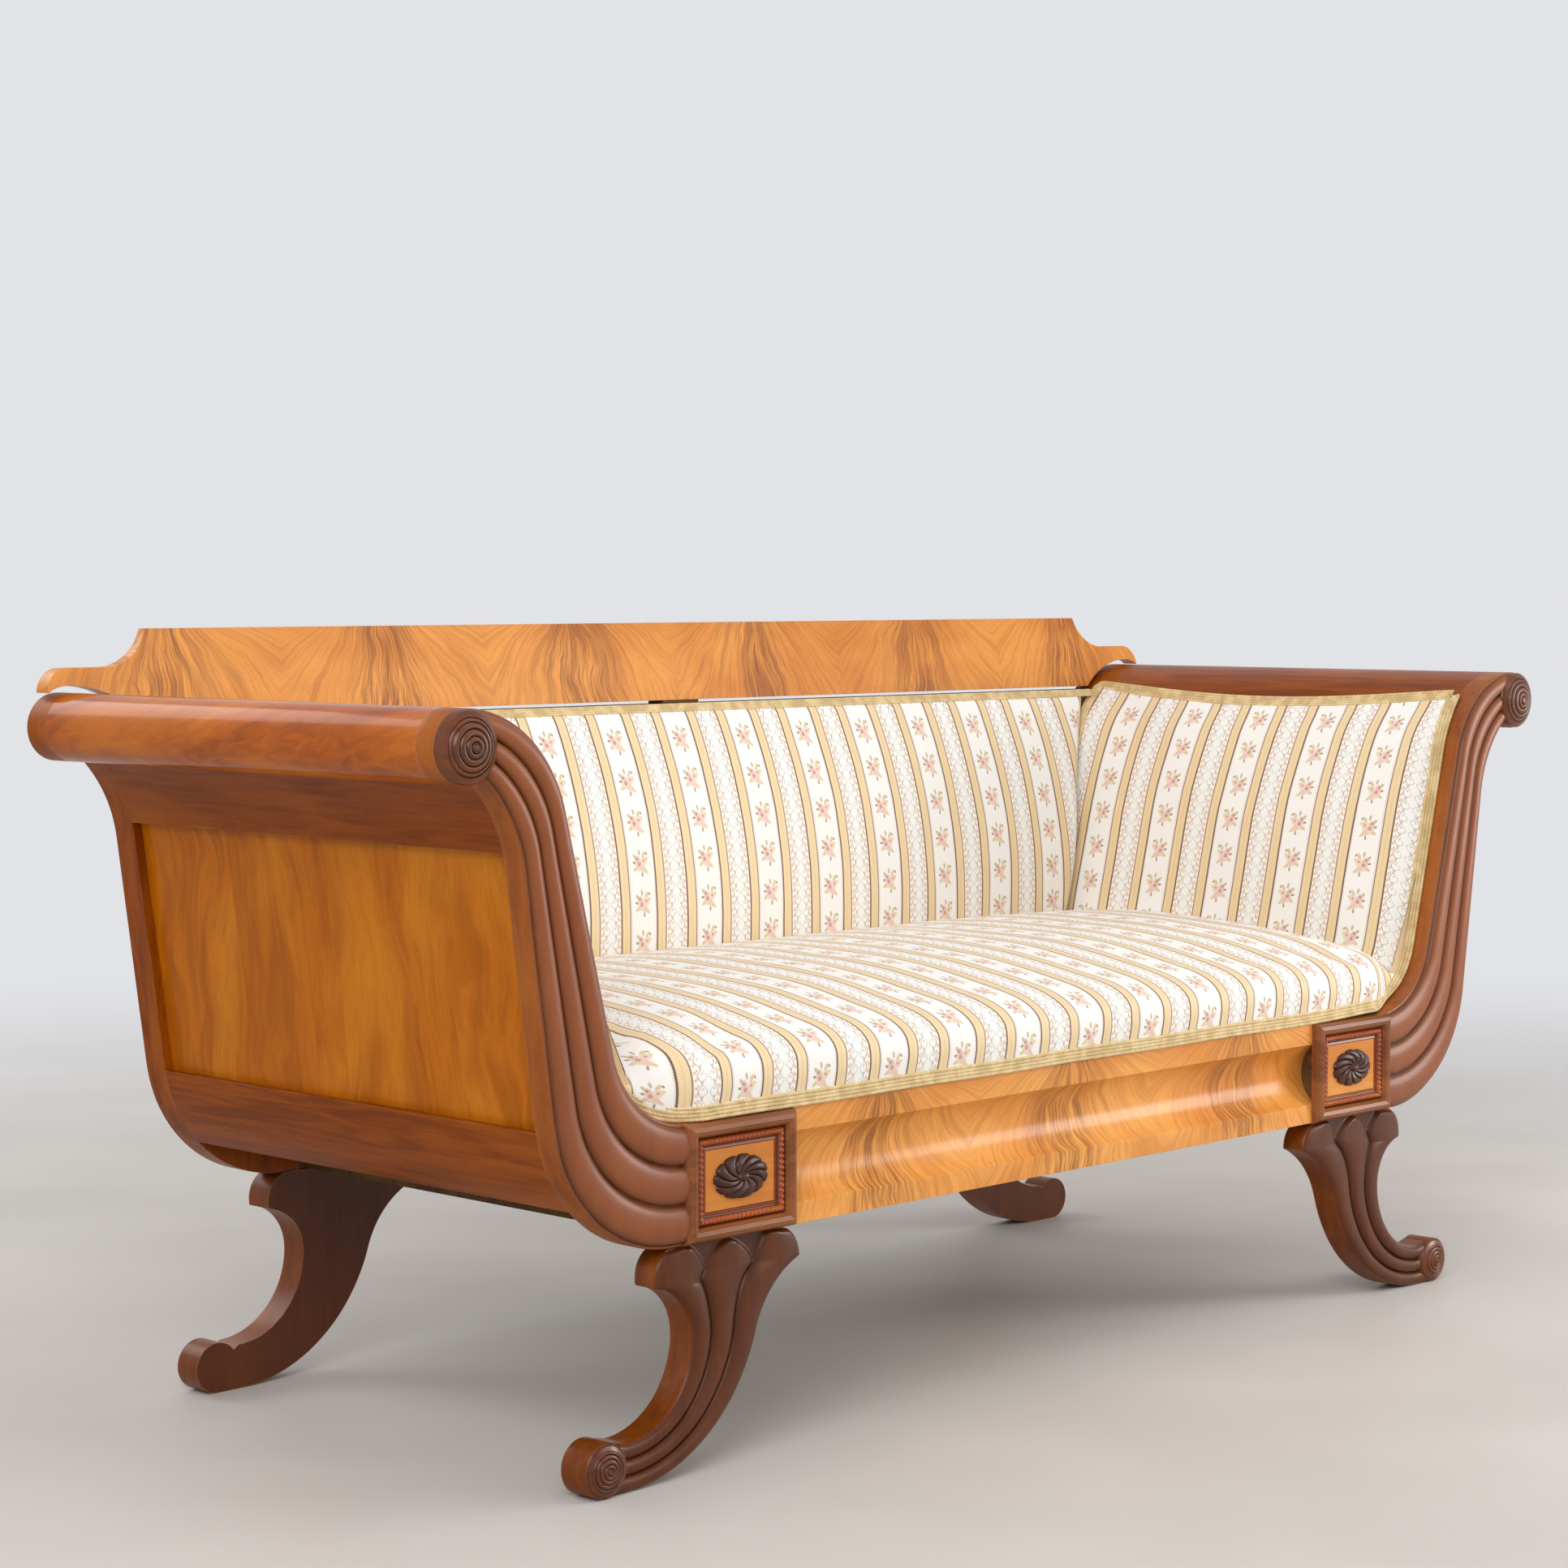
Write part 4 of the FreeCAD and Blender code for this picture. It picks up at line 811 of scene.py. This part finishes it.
def ripples():
    """Mitred strips: a cross-rippled half round outside, a hollow and a fillet inside, darkened with painted
    shade in the hollow and at the fillet's inner edge.
    """
    # The section: inset from the outer edge, rise and hollow, the share of painted shade
    profile = [(0.0, 0.0, 1.0), (0.2, 3.0, 0.7), (1.4, 6.0, 0.2), (3.4, 7.6, 0.0), (5.6, 7.6, 0.0),
               (7.4, 6.0, 0.2), (8.2, 4.0, 0.7), (9.4, 3.0, 1.0), (11.0, 2.8, 0.8), (12.0, 3.6, 0.2),
               (13.2, 3.6, 0.2), (13.6, 0.0, 1.0)]
    form = Form()
    for side, _ in SIDES:
        for k in range(4):
            points, hollow = [], []
            upright = k % 2
            span = RIPPLE_SIZE[upright]
            half = RIPPLE_SIZE[1 - upright] / 2
            steps = int(span / 0.8)
            for n in range(steps + 1):
                for inset, rise, sunk in profile:
                    u = (2 * n / steps - 1) * (span / 2 - inset)
                    w = half - inset
                    ripple = sin(TAU * u / RIPPLE_PITCH) if inset < 8.0 and rise > 2 else 0.0
                    # Painted shade in the dips between ripples
                    hollow.append(max(sunk, -0.4 * ripple))
                    if k > 1:
                        u, w = -u, -w
                    x, z = (w, -u) if upright else (u, w)
                    y = FACE_Y - rise * (1 + 0.13 * ripple)
                    points.append((side * (BLOCK_AT[0] + x), y, BLOCK_AT[1] + z))
            form.rows(points, len(profile), hollow)
    piece("ripple_strips", form, "ripple", "block_ripples")


# Stuffed pads
def spline(points, count):
    """Evenly parted points on a smooth curve through points."""
    out = []
    spans = len(points) - 1
    for n in range(count):
        t = spans * n / (count - 1)
        k = min(int(t), spans - 1)
        s = t - k
        p0, p1 = points[max(k - 1, 0)], points[k]
        p2, p3 = points[k + 1], points[min(k + 2, spans)]
        point = []
        for a, b, c, d in zip(p0, p1, p2, p3):
            bend = (2 * a - 5 * b + 4 * c - d) * s * s + (3 * b - a - 3 * c + d) * s ** 3
            point.append(0.5 * (2 * b + (c - a) * s + bend))
        out.append(tuple(point))
    return out


def lumps(x, y, z, size, seed):
    return noise.noise(Vector((x / size, y / size + seed, z / size)))


def puff(obj, pressure, cap, held):
    """Swells a pad like stuffed cloth: pressure from inside, with the points of held kept in place."""
    frames = 16
    group = obj.vertex_groups.new(name="held")
    for k, weight in enumerate(held):
        if weight > 0.02:
            group.add([k], weight, "REPLACE")
    rest = [v.co.copy() for v in obj.data.vertices]
    cloth = obj.modifiers.new("Cloth", "CLOTH")
    settings = cloth.settings
    settings.quality = 6
    settings.mass = 0.4
    settings.tension_stiffness = 25
    settings.compression_stiffness = 25
    settings.bending_stiffness = 6
    settings.use_pressure = True
    settings.uniform_pressure_force = pressure
    settings.vertex_group_mass = "held"
    settings.effector_weights.gravity = 0.0
    cloth.collision_settings.use_collision = False
    cloth.point_cache.frame_start = 1
    cloth.point_cache.frame_end = frames
    for step in range(1, frames + 1):
        SCENE.frame_set(step)
    swelled = obj.evaluated_get(bpy.context.evaluated_depsgraph_get())
    moved = [v.co.copy() for v in swelled.data.vertices]
    obj.modifiers.remove(cloth)
    obj.vertex_groups.remove(group)
    SCENE.frame_set(1)
    for v, a, b, weight in zip(obj.data.vertices, rest, moved, held):
        step = b - a
        if step.length > cap * MM:
            step = step * (cap * MM / step.length)
        v.co = a + step * (1 - weight)
    obj.data.update()


def pad(name, spots, rows, node, cap):
    """A pad from columns of spots, each a loop of rows, swelled by at most cap and smoothed.
    A spot is its point, its place on the cloth and how firmly it is held."""
    points, weave, held = zip(*spots)
    form = Form()
    form.rows(points, rows)
    obj = piece(name, form, "fabric", node, weave)
    puff(obj, 2.0, cap, held)
    smooth = obj.modifiers.new("Smooth", "SUBSURF")
    smooth.levels = 1
    smooth.render_levels = 1


def corner(x):
    """How far round a front corner of the seat: 0 along the front and 1 at the arm."""
    return ease(abs(x), *CORNER_X)


def over_arc(x, z, base):
    """Height on the seat's front lip, lifted clear of the stile's lower arc."""
    arc = INNER.low[1] + 2.5 - sqrt(INNER.low_r ** 2 - (abs(x) - STILE_X) ** 2)
    low = max(base, arc)
    return low + (z - base) * (LIP_TOP - low) / (LIP_TOP - base)


def seat_pad():
    """The seat, from its front edge over the crown to the back and round underneath. Sections give y and z:
    along the front, and where the pad is tucked in behind a stile."""
    cols, shown = 121, 64
    front = [(-345.5, 386), (-349, 402), (-352, 424), (-347, 446), (-327, 464), (-270, 476), (-180, 486),
             (-60, 493), (80, 494), (190, 487), (246, 478), (258, 470)]
    tucked = [(-321, 392), (-322, 402), (-321, 416), (-315, 430), (-300, 441), (-256, 452), (-179, 464),
              (-67, 478), (60, 488), (190, 484), (246, 476), (258, 470)]
    under = [(262, 430), (262, 389), (100, 389), (-100, 389), (-296, 389)]
    a, b = spline(front, shown), spline(tucked, shown)
    rows = shown + len(under)
    spots = []
    for c in range(cols):
        s = 2 * c / (cols - 1) - 1
        s = copysign(1 - (1 - abs(s)) ** 1.25, s)
        tuck = ease(abs(s), 0.88, 1.0)
        soft = ease(abs(s), 0.6, 1.0) * 4.0
        rounded = 7.0 * (1 - sqrt(1 - max(0.0, 1 - (1 - abs(s)) / 0.024) ** 2))
        run, last = 0.0, None
        for r in range(rows):
            if r < shown:
                y = lerp(a[r][0], b[r][0], tuck)
                z = lerp(a[r][1], b[r][1], tuck) - soft * ease(r, 10, 24)
            else:
                y, z = under[r - shown]
            half = SEAT_HALF + SEAT_FLARE * (z - SEAT_FOOT_Z)
            half += max(0.0, inner_x(z, SEAT_CLEAR) - half) * ease(-y, 250.0, 305.0)
            x = s * half
            if r < shown:
                y = lerp(a[r][0], b[r][0], corner(x))
                if y < FOOT_BACK_Y and abs(x) > STILE_X and z < LIP_TOP:
                    z = over_arc(x, z, lerp(a[0][1], b[0][1], tuck))
                y += rounded * (1 - ease(r, 6, 20))
                z -= rounded * ease(r, 6, 20)
            top = ease(r, 5, 14) * ease(rows - r, 8, 16)
            z += top * (2.4 * lumps(x, y, 0, 160, 3) + 1.2 * lumps(x, y, 0, 60, 8))
            if r < 14:
                y += 1.5 * lumps(x, 0, z, 90, 5) * ease(r, 0, 5)
            if last and r < shown:
                run += dist((y, z), last)
            last = (y, z)
            held = 1 - ease(r, 3, 26) * ease(shown - r, 4, 10) * ease(min(c, cols - 1 - c), 0, 12)
            spots.append(((x, y, z), (x + 683.0, run), held))
    pad("seat_cushion", spots, rows, "seat_pad", 6.0)


def back_y(z):
    """The lean of the back: upright above the seat, then more and more sloped."""
    return 251.0 + 71.0 * (max(0.0, z - 507.0) / 291.0) ** 2


def arm_top(y):
    """Height of the braid along the arm's top, which dips between its ends."""
    f = min(1.0, max(0.0, (y - BOARD_BACK_Y) / 640.0))
    return ARM_TOP_Z - ARM_DIP * sin(pi * f) ** 1.1


def arm_depth(share, edge):
    """How far an arm's pad stands in from the sweep: share runs up the pad, edge from its front end."""
    depth = 27.0 * (0.35 + 0.65 * edge) * ease(1.0 - share, 0.0, 0.42) ** 0.8
    return max(PAD_EDGE, depth * (1 - 0.35 * ease(share, 0.25, 0.0)))


def back_pad():
    """The back, from the seat up to its braid and down again behind, fitted between the arms' pads."""
    cols, shown, hidden = 131, 46, 5
    rows = shown + hidden
    height = BACK_TOP_Z - BACK_LOW_Z
    spots = []
    for c in range(cols):
        s = 2 * c / (cols - 1) - 1
        s = copysign(1 - (1 - abs(s)) ** 1.2, s)
        for r in range(rows):
            if r < shown:
                t = r / (shown - 1)
                z = BACK_LOW_Z + height * t
                high = ease(z, 640.0, 790.0)
                y = back_y(z) - 3.0 * sin(pi * t) + 7.0 * ease(z, 782.0, 800.0) ** 2
                y += (22.0 - 16.0 * high) * ease(abs(s), 0.95 + 0.03 * high, 1.0) ** 2
                y += 2.0 * lumps(s * 900, 0, z, 150, 11) * ease(800.0 - z, 0, 60)
            else:
                z = BACK_TOP_Z - height * (r - shown) / (hidden - 1)
                y = BACK_Y
            reach = 716.0
            if z > 425.0:
                level = max(z, 430.0)
                reach = inner_x(level, arm_depth(inner_t(level, 20.0), 1.0) + 1.5)
            x = s * reach
            run = z if r < shown else 2 * BACK_TOP_Z - z
            held = 1 - ease(r, 1, 6) * ease(shown - r, 3, 9) * ease(min(c, cols - 1 - c), 0, 6)
            spots.append(((x, min(y, BACK_Y), z), (x + 34.0, run), held))
    pad("back_cushion", spots, rows, "back_pad", 6.0)


def arm_pad(side, label):
    """An arm's pad: columns from front to back, the first few round its front edge."""
    cols, shown, hidden, wall = 75, 60, 8, 4
    rows = shown + hidden
    front = BOARD_BACK_Y + 1.0
    spots = []
    for c in range(cols):
        f = (max(0, c - wall) / (cols - wall - 1)) ** 1.15
        skirt = min(1.0, c / wall)
        y = lerp(front, BACK_Y, f) - 0.8 * (1 - skirt)
        edge = ease(y, BOARD_BACK_Y, -285.0)
        top = inner_t(arm_top(y) + 1.0, PAD_EDGE)
        run, last = 0.0, None
        for r in range(rows):
            if r < shown:
                share = r / (shown - 1)
                depth = arm_depth(share, edge) + 1.6 * lumps(y, 0, 300 * share, 90, 17) * edge
                depth = lerp(PAD_EDGE, depth, sqrt(1 - (1 - skirt) ** 2))
                (x, z), _ = INNER.part(lerp(PAD_START, top, share), depth)
            else:
                (x, z), _ = INNER.part(lerp(top, PAD_START, (r - shown) / (hidden - 1)), 1.5)
            if last and r < shown:
                run += dist((x, z), last)
            last = (x, z)
            held = 1 - ease(r, 2, 8) * ease(shown - r, 4, 14) * ease(min(c - wall, cols - 1 - c), 1, 8)
            spots.append(((side * x, y, z), (y + 240.0 - 8.0 * (1 - skirt), run), held))
    pad("arm_cushion_" + label, spots, rows, "arm_pad_" + label, 5.0)


# Braids
def braid(name, route, radius, pitch, node):
    """Twisted cords side by side along a route of points and the direction from cord to cord at each."""
    flats = 10
    path = [Vector(point) for point, _ in route]
    form = Form()
    for k in range(CORDS):
        shift = (k - (CORDS - 1) / 2) * radius * 1.75
        points = []
        run = 0.0
        for n, (p, (_, way)) in enumerate(zip(path, route)):
            before = path[max(n - 1, 0)]
            ahead = (path[min(n + 1, len(path) - 1)] - before).normalized()
            side = Vector(way)
            side = (side - ahead * side.dot(ahead)).normalized()
            up = ahead.cross(side)
            run += (p - before).length
            twist = TAU * run / pitch * (1 if k % 2 else -1)
            for m in range(flats):
                a = TAU * m / flats
                r = radius * (0.78 + 0.26 * abs(cos(a - twist / 2)))
                points.append(p + side * (shift + r * cos(a)) + up * (r * 0.8 * sin(a)))
        form.rows(points, flats)
    piece(name, form, "braid", node)


def seat_gimp():
    """Along the seat's front edge, lifted a little at one end."""
    route = []
    for k, x in enumerate(spread(-STILE_X, STILE_X, 866)):
        z = BRAID_Z + 0.4 * sin(k / 31) * ease(STILE_X - abs(x), 0, 40) + LIFT[1] * ease(x, 510, STILE_X)
        route.append(((x, BRAID_Y + BRAID_SETBACK * corner(x), z), (0, 0, 1)))
    braid("seat_braid", route, CORD_R, CORD_PITCH, "seat_gimp")


def arm_gimp(side, label):
    """Up an arm's front edge, back along its top and down the corner at the back."""
    route = []
    for t in spread(0.0, inner_t(803.0, PAD_EDGE), 279):
        off_stile, at_roll = ease(t, 0.1, 0.3), ease(t, 0.7, 0.85)
        rise = LIFT[side] * (1 - ease(t, 0.0, 0.2))
        (x, z), h = INNER.part(t, 9.0 - 1.6 * off_stile - 3.4 * at_roll + rise)
        y = BRAID_Y + BRAID_SETBACK * corner(x) + 1.5 * off_stile + 5.0 * at_roll
        turn = pi / 4 * (ease(t, 0.08, 0.28) + at_roll)
        route.append(((side * x, y, z), (-side * sin(h) * cos(turn), sin(turn), cos(h) * cos(turn))))
    edge = 3.2
    for k in range(4, 424):
        y = -312.5 + 1.479 * k
        z = arm_top(y)
        route.append(((side * inner_x(z, edge), y, z), (0.6 * side, 0, 0.8)))
    top = inner_t(arm_top(y), edge)
    bend_steps, bend_r = 12, 9.0
    for k in range(1, 101):
        bend = min(1.0, k / bend_steps) * pi / 2
        past = max(0, k - bend_steps)
        drop = bend_r * (1 - cos(bend)) + past * 1.25
        t = top - drop / 554.0
        depth = arm_depth((t - PAD_START) / (top - PAD_START), 1.0)
        (x, z), _ = INNER.part(t, max(edge, depth + 2.4 * ease(drop, 6.0, 20.0)))
        route.append(((side * x, y + bend_r * sin(bend) - 0.13 * past, z),
                      (0.6 * side * cos(bend), sin(bend), 0.8 * cos(bend))))
    braid("arm_braid_" + label, route, CORD_R, CORD_PITCH, "arm_gimp_" + label)


def back_gimp():
    """Along the top of the back, in finer cords."""
    route = [((x, 323.2, 795.4), (0, 0.6, 0.8)) for x in spread(-852.0, 852.0, 1136)]
    braid("back_braid", route, 1.8, 6.0, "back_gimp")


# Straps and sacking
def strap(form, path, side, up):
    """A strap 50 mm wide and 1.4 mm thick along a path, its edges rounded."""
    half, flat, thick = 25.0, 24.0, 0.7
    edge = ((-half, 0.0), (-flat, thick), (0.0, thick), (flat, thick),
            (half, 0.0), (flat, -thick), (0.0, -thick), (-flat, -thick))
    points = [[c + s * a + u * b for c, a, b in zip(p, side, up)] for p in path for s, u in edge]
    form.rows(points, len(edge))


def seat_straps():
    """The seat's straps pass over and under one another."""
    def sway(crossing):
        return STRAP_SWAY * cos(pi * crossing)

    form = Form()
    for k in range(SEAT_STRAPS):
        x = OPEN_X * (2 * (k + 0.5) / SEAT_STRAPS - 1)
        path = [(x, y, STRAP_Z + sway((y - OPEN_Y) / CROSS_PITCH - 0.5 + k))
                for y in spread(TACK_Y, BACK_Y, 90)]
        strap(form, path, (1, 0, 0), (0, 0, 1))
    for k in range(CROSS_STRAPS):
        y = OPEN_Y + CROSS_PITCH * (k + 0.5)
        path = [(x, y, STRAP_Z - sway((x + OPEN_X) / (2 * OPEN_X) * SEAT_STRAPS - 0.5 + k))
                for x in spread(-RAIL_X, RAIL_X, 170)]
        strap(form, path, (0, 1, 0), (0, 0, 1))
    piece("seat_straps", form, "jute", "seat_webbing")


def back_straps():
    """The back's straps stand side by side, five on each side of the middle."""
    form = Form()
    for way in (1, -1):
        for k in range(5):
            x = RAIL_X * (k + 0.7) / 5 * way
            path = [(x, BACK_Y + 3.3 + 1.6 * sin(pi * f) ** 2, BACK_CLOTH_Z + BACK_CLOTH_H * f)
                    for f in spread(0.0, 1.0, 40)]
            strap(form, path, (1, 0, 0), (0, 1, 0))
    piece("back_straps", form, "jute", "back_webbing")


def tacked(name, rows, cols, spot, node):
    """A stretched sheet of sacking: spot gives a point for shares of the way across and along."""
    form = Form()
    points = [spot(fx, fy) for fy in spread(0.0, 1.0, rows - 1) for fx in spread(0.0, 1.0, cols - 1)]
    form.rows(points, cols, closed=False)
    obj = piece(name, form, "hessian", node)


def seat_lining():
    """Sacking over the seat's straps."""
    def spot(fx, fy):
        x, y = RAIL_X * (2 * fx - 1), TACK_Y + SACKING_D * fy
        return (x, y, STRAP_Z + 2.2 + 0.25 * lumps(x, y, 0, 70, 31))

    tacked("seat_sacking", 61, 121, spot, "seat_hessian")


def back_lining():
    """Sacking before the back's straps; its ends follow the arms."""
    def spot(fx, fz):
        z = BACK_CLOTH_Z + BACK_CLOTH_H * fz
        return (inner_x(z, 1.0) * (2 * fx - 1), BACK_Y + 1.7 + 0.3 * lumps(fx * 1700, 0, z, 90, 37), z)

    slices = 80
    area = sum(2 * spot(1.0, (k + 0.5) / slices)[0] for k in range(slices)) * BACK_CLOTH_H / slices * MM * MM
    flat = (2 * spot(1.0, 1.0)[0] * MM, BACK_CLOTH_H * MM)
    tacked("back_sacking", 41, 121, spot, "back_hessian")


def arm_lining(side, label):
    """Sacking inside an arm, along the inner sweep."""
    low, high = (inner_t(z, ARM_CLOTH_IN) for z in ARM_CLOTH_Z)

    def spot(fy, ft):
        (x, z), _ = INNER.part(lerp(low, high, ft), ARM_CLOTH_IN)
        return (side * x, BOARD_BACK_Y + ARM_CLOTH_W * fy, z)

    slices = 200
    run = sum(dist(spot(0.0, k / slices), spot(0.0, (k + 1) / slices)) for k in range(slices)) * MM
    tacked("arm_sacking_" + label, 61, 41, spot, "arm_lining_" + label)


def back_sheet():
    """The cloth tacked over the outside of the back, a little slack between its tacks."""
    low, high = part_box("back_cloth")
    z0, z1 = low[2] / MM, high[2] / MM
    rows = 41

    def reach(z):
        return inner_x(max(z, RAIL_TOP + 0.5), 1.0)

    def spot(fx, fz):
        z = lerp(z0, z1, fz)
        slack = sin(pi * fx) ** 0.5 * sin(pi * fz) ** 0.5
        ripple = 0.5 * lumps(fx * 1700, 0, fz * 400, 130, 23) * slack
        return (reach(z) * (2 * fx - 1), high[1] / MM - slack + ripple, z)

    area = sum(2 * reach(lerp(z0, z1, r / (rows - 1))) * (z1 - z0) / rows for r in range(rows)) * MM * MM
    tacked("back_outer_cloth", rows, 121, spot, "back_cloth")


for side, label in SIDES:
    front_stile(side, label)
    front_foot(side, label)
    arm_pad(side, label)
bosses("roll_bosses", ROLL_AT, 38.0, FACE_Y, 9.0, 13.0, (3.4, 5.5, 11.7, 19.0, 25.6, 30.5), 3.0,
       "roll_rosettes")
bosses("foot_bosses", TOE_AT, 28.0, TOE_FACE_Y + 0.5, 1.0, 8.0, (2.5, 4.0, 8.6, 14.0, 18.9, 22.5), 2.2,
       "foot_rosettes")
flowers()
ripples()
seat_pad()
back_pad()
seat_gimp()
for side, label in SIDES:
    arm_gimp(side, label)
back_gimp()
seat_straps()
back_straps()
seat_lining()
back_lining()
for side, label in SIDES:
    arm_lining(side, label)
back_sheet()


# Floor, light and camera
BACKDROP = (226, 227, 231)
FLOOR_HALF = 20.0
AIM = Vector((0, 0, 0.45))
LAMPS = (("key", (-3.8, -2.4, 3.0), 2.8, 128.0), ("top", (0.2, -0.6, 4.2), 3.2, 30.0),
         ("fill", (2.6, -4.2, 2.0), 2.6, 42.0), ("end", (2.3, -1.9, 0.9), 1.0, 28.0),
         ("rear", (-1.5, 4.2, 3.0), 2.4, 50.0))


def backdrop_seen(tree):
    """1 where the background itself is seen: straight on, in a gloss or through glass."""
    path = new(tree, "LightPath")
    seen = Val(path, "Is Camera Ray")
    for kind in ("Is Glossy Ray", "Is Transmission Ray"):
        seen = seen.op("MAXIMUM", Val(path, kind))
    return seen


def blend_shaders(share, near, far, output):
    blend = new(share.tree, "MixShader", enumerate((share, Val(near), Val(far))))
    put(share.tree.nodes[output].inputs["Surface"], Val(blend))


def floor():
    """A pale floor that turns into the backdrop's colour in the distance."""
    h = FLOOR_HALF
    mesh = bpy.data.meshes.new("floor")
    mesh.from_pydata([(-h, -h, 0), (h, -h, 0), (h, h, 0), (-h, h, 0)], [], [(0, 1, 2, 3)])
    add_object("floor", mesh)
    mat, tree, skin = surface("pale_floor", 0.55, spec=0.2)
    x, y, _ = place(tree)
    distance = ((x * x + y * y) * 1e-6).op("SQRT")
    grain = cloud((x, y), (0.002, 0.002), 2.0)
    put(skin.inputs["Base Color"], grain.ramp(0.3, 0.7).mix((202, 197, 191), (210, 205, 199)))
    glow = new(tree, "Emission", {"Color": BACKDROP})
    blend_shaders(distance.ramp(1.4, 4.5) * backdrop_seen(tree), skin, glow, "Material Output")
    mesh.materials.append(mat)


def studio():
    """An even white sky that shows as the backdrop's colour, and soft lamps round the sofa."""
    world = bpy.data.worlds.new("studio")
    SCENE.world = world
    world.use_nodes = True
    sky = world.node_tree.nodes["Background"]
    put(sky.inputs["Color"], (255, 255, 255))
    put(sky.inputs["Strength"], 0.5)
    seen = new(world.node_tree, "Background", {"Color": BACKDROP})
    blend_shaders(backdrop_seen(world.node_tree), sky, seen, "World Output")
    for name, spot, size, power in LAMPS:
        lamp = bpy.data.lights.new(name, "AREA")
        lamp.energy = power
        lamp.size = size
        add_object(name, lamp, spot, AIM - Vector(spot))


def camera():
    """The photograph's viewpoint."""
    cam = bpy.data.cameras.new("photo_camera")
    cam.sensor_width = 36.0
    cam.lens = 77.67
    cam.shift_x = -0.01775
    cam.shift_y = 0.00078
    cam.clip_end = 100.0
    direction = Vector((0.72026, 0.69119, -0.05913))
    SCENE.camera = add_object("photo_camera", cam, (-3.15, -2.9287, 0.9586), direction)


floor()
studio()
camera()
SCENE.view_settings.view_transform = "Standard"
bpy.context.view_layer.update()
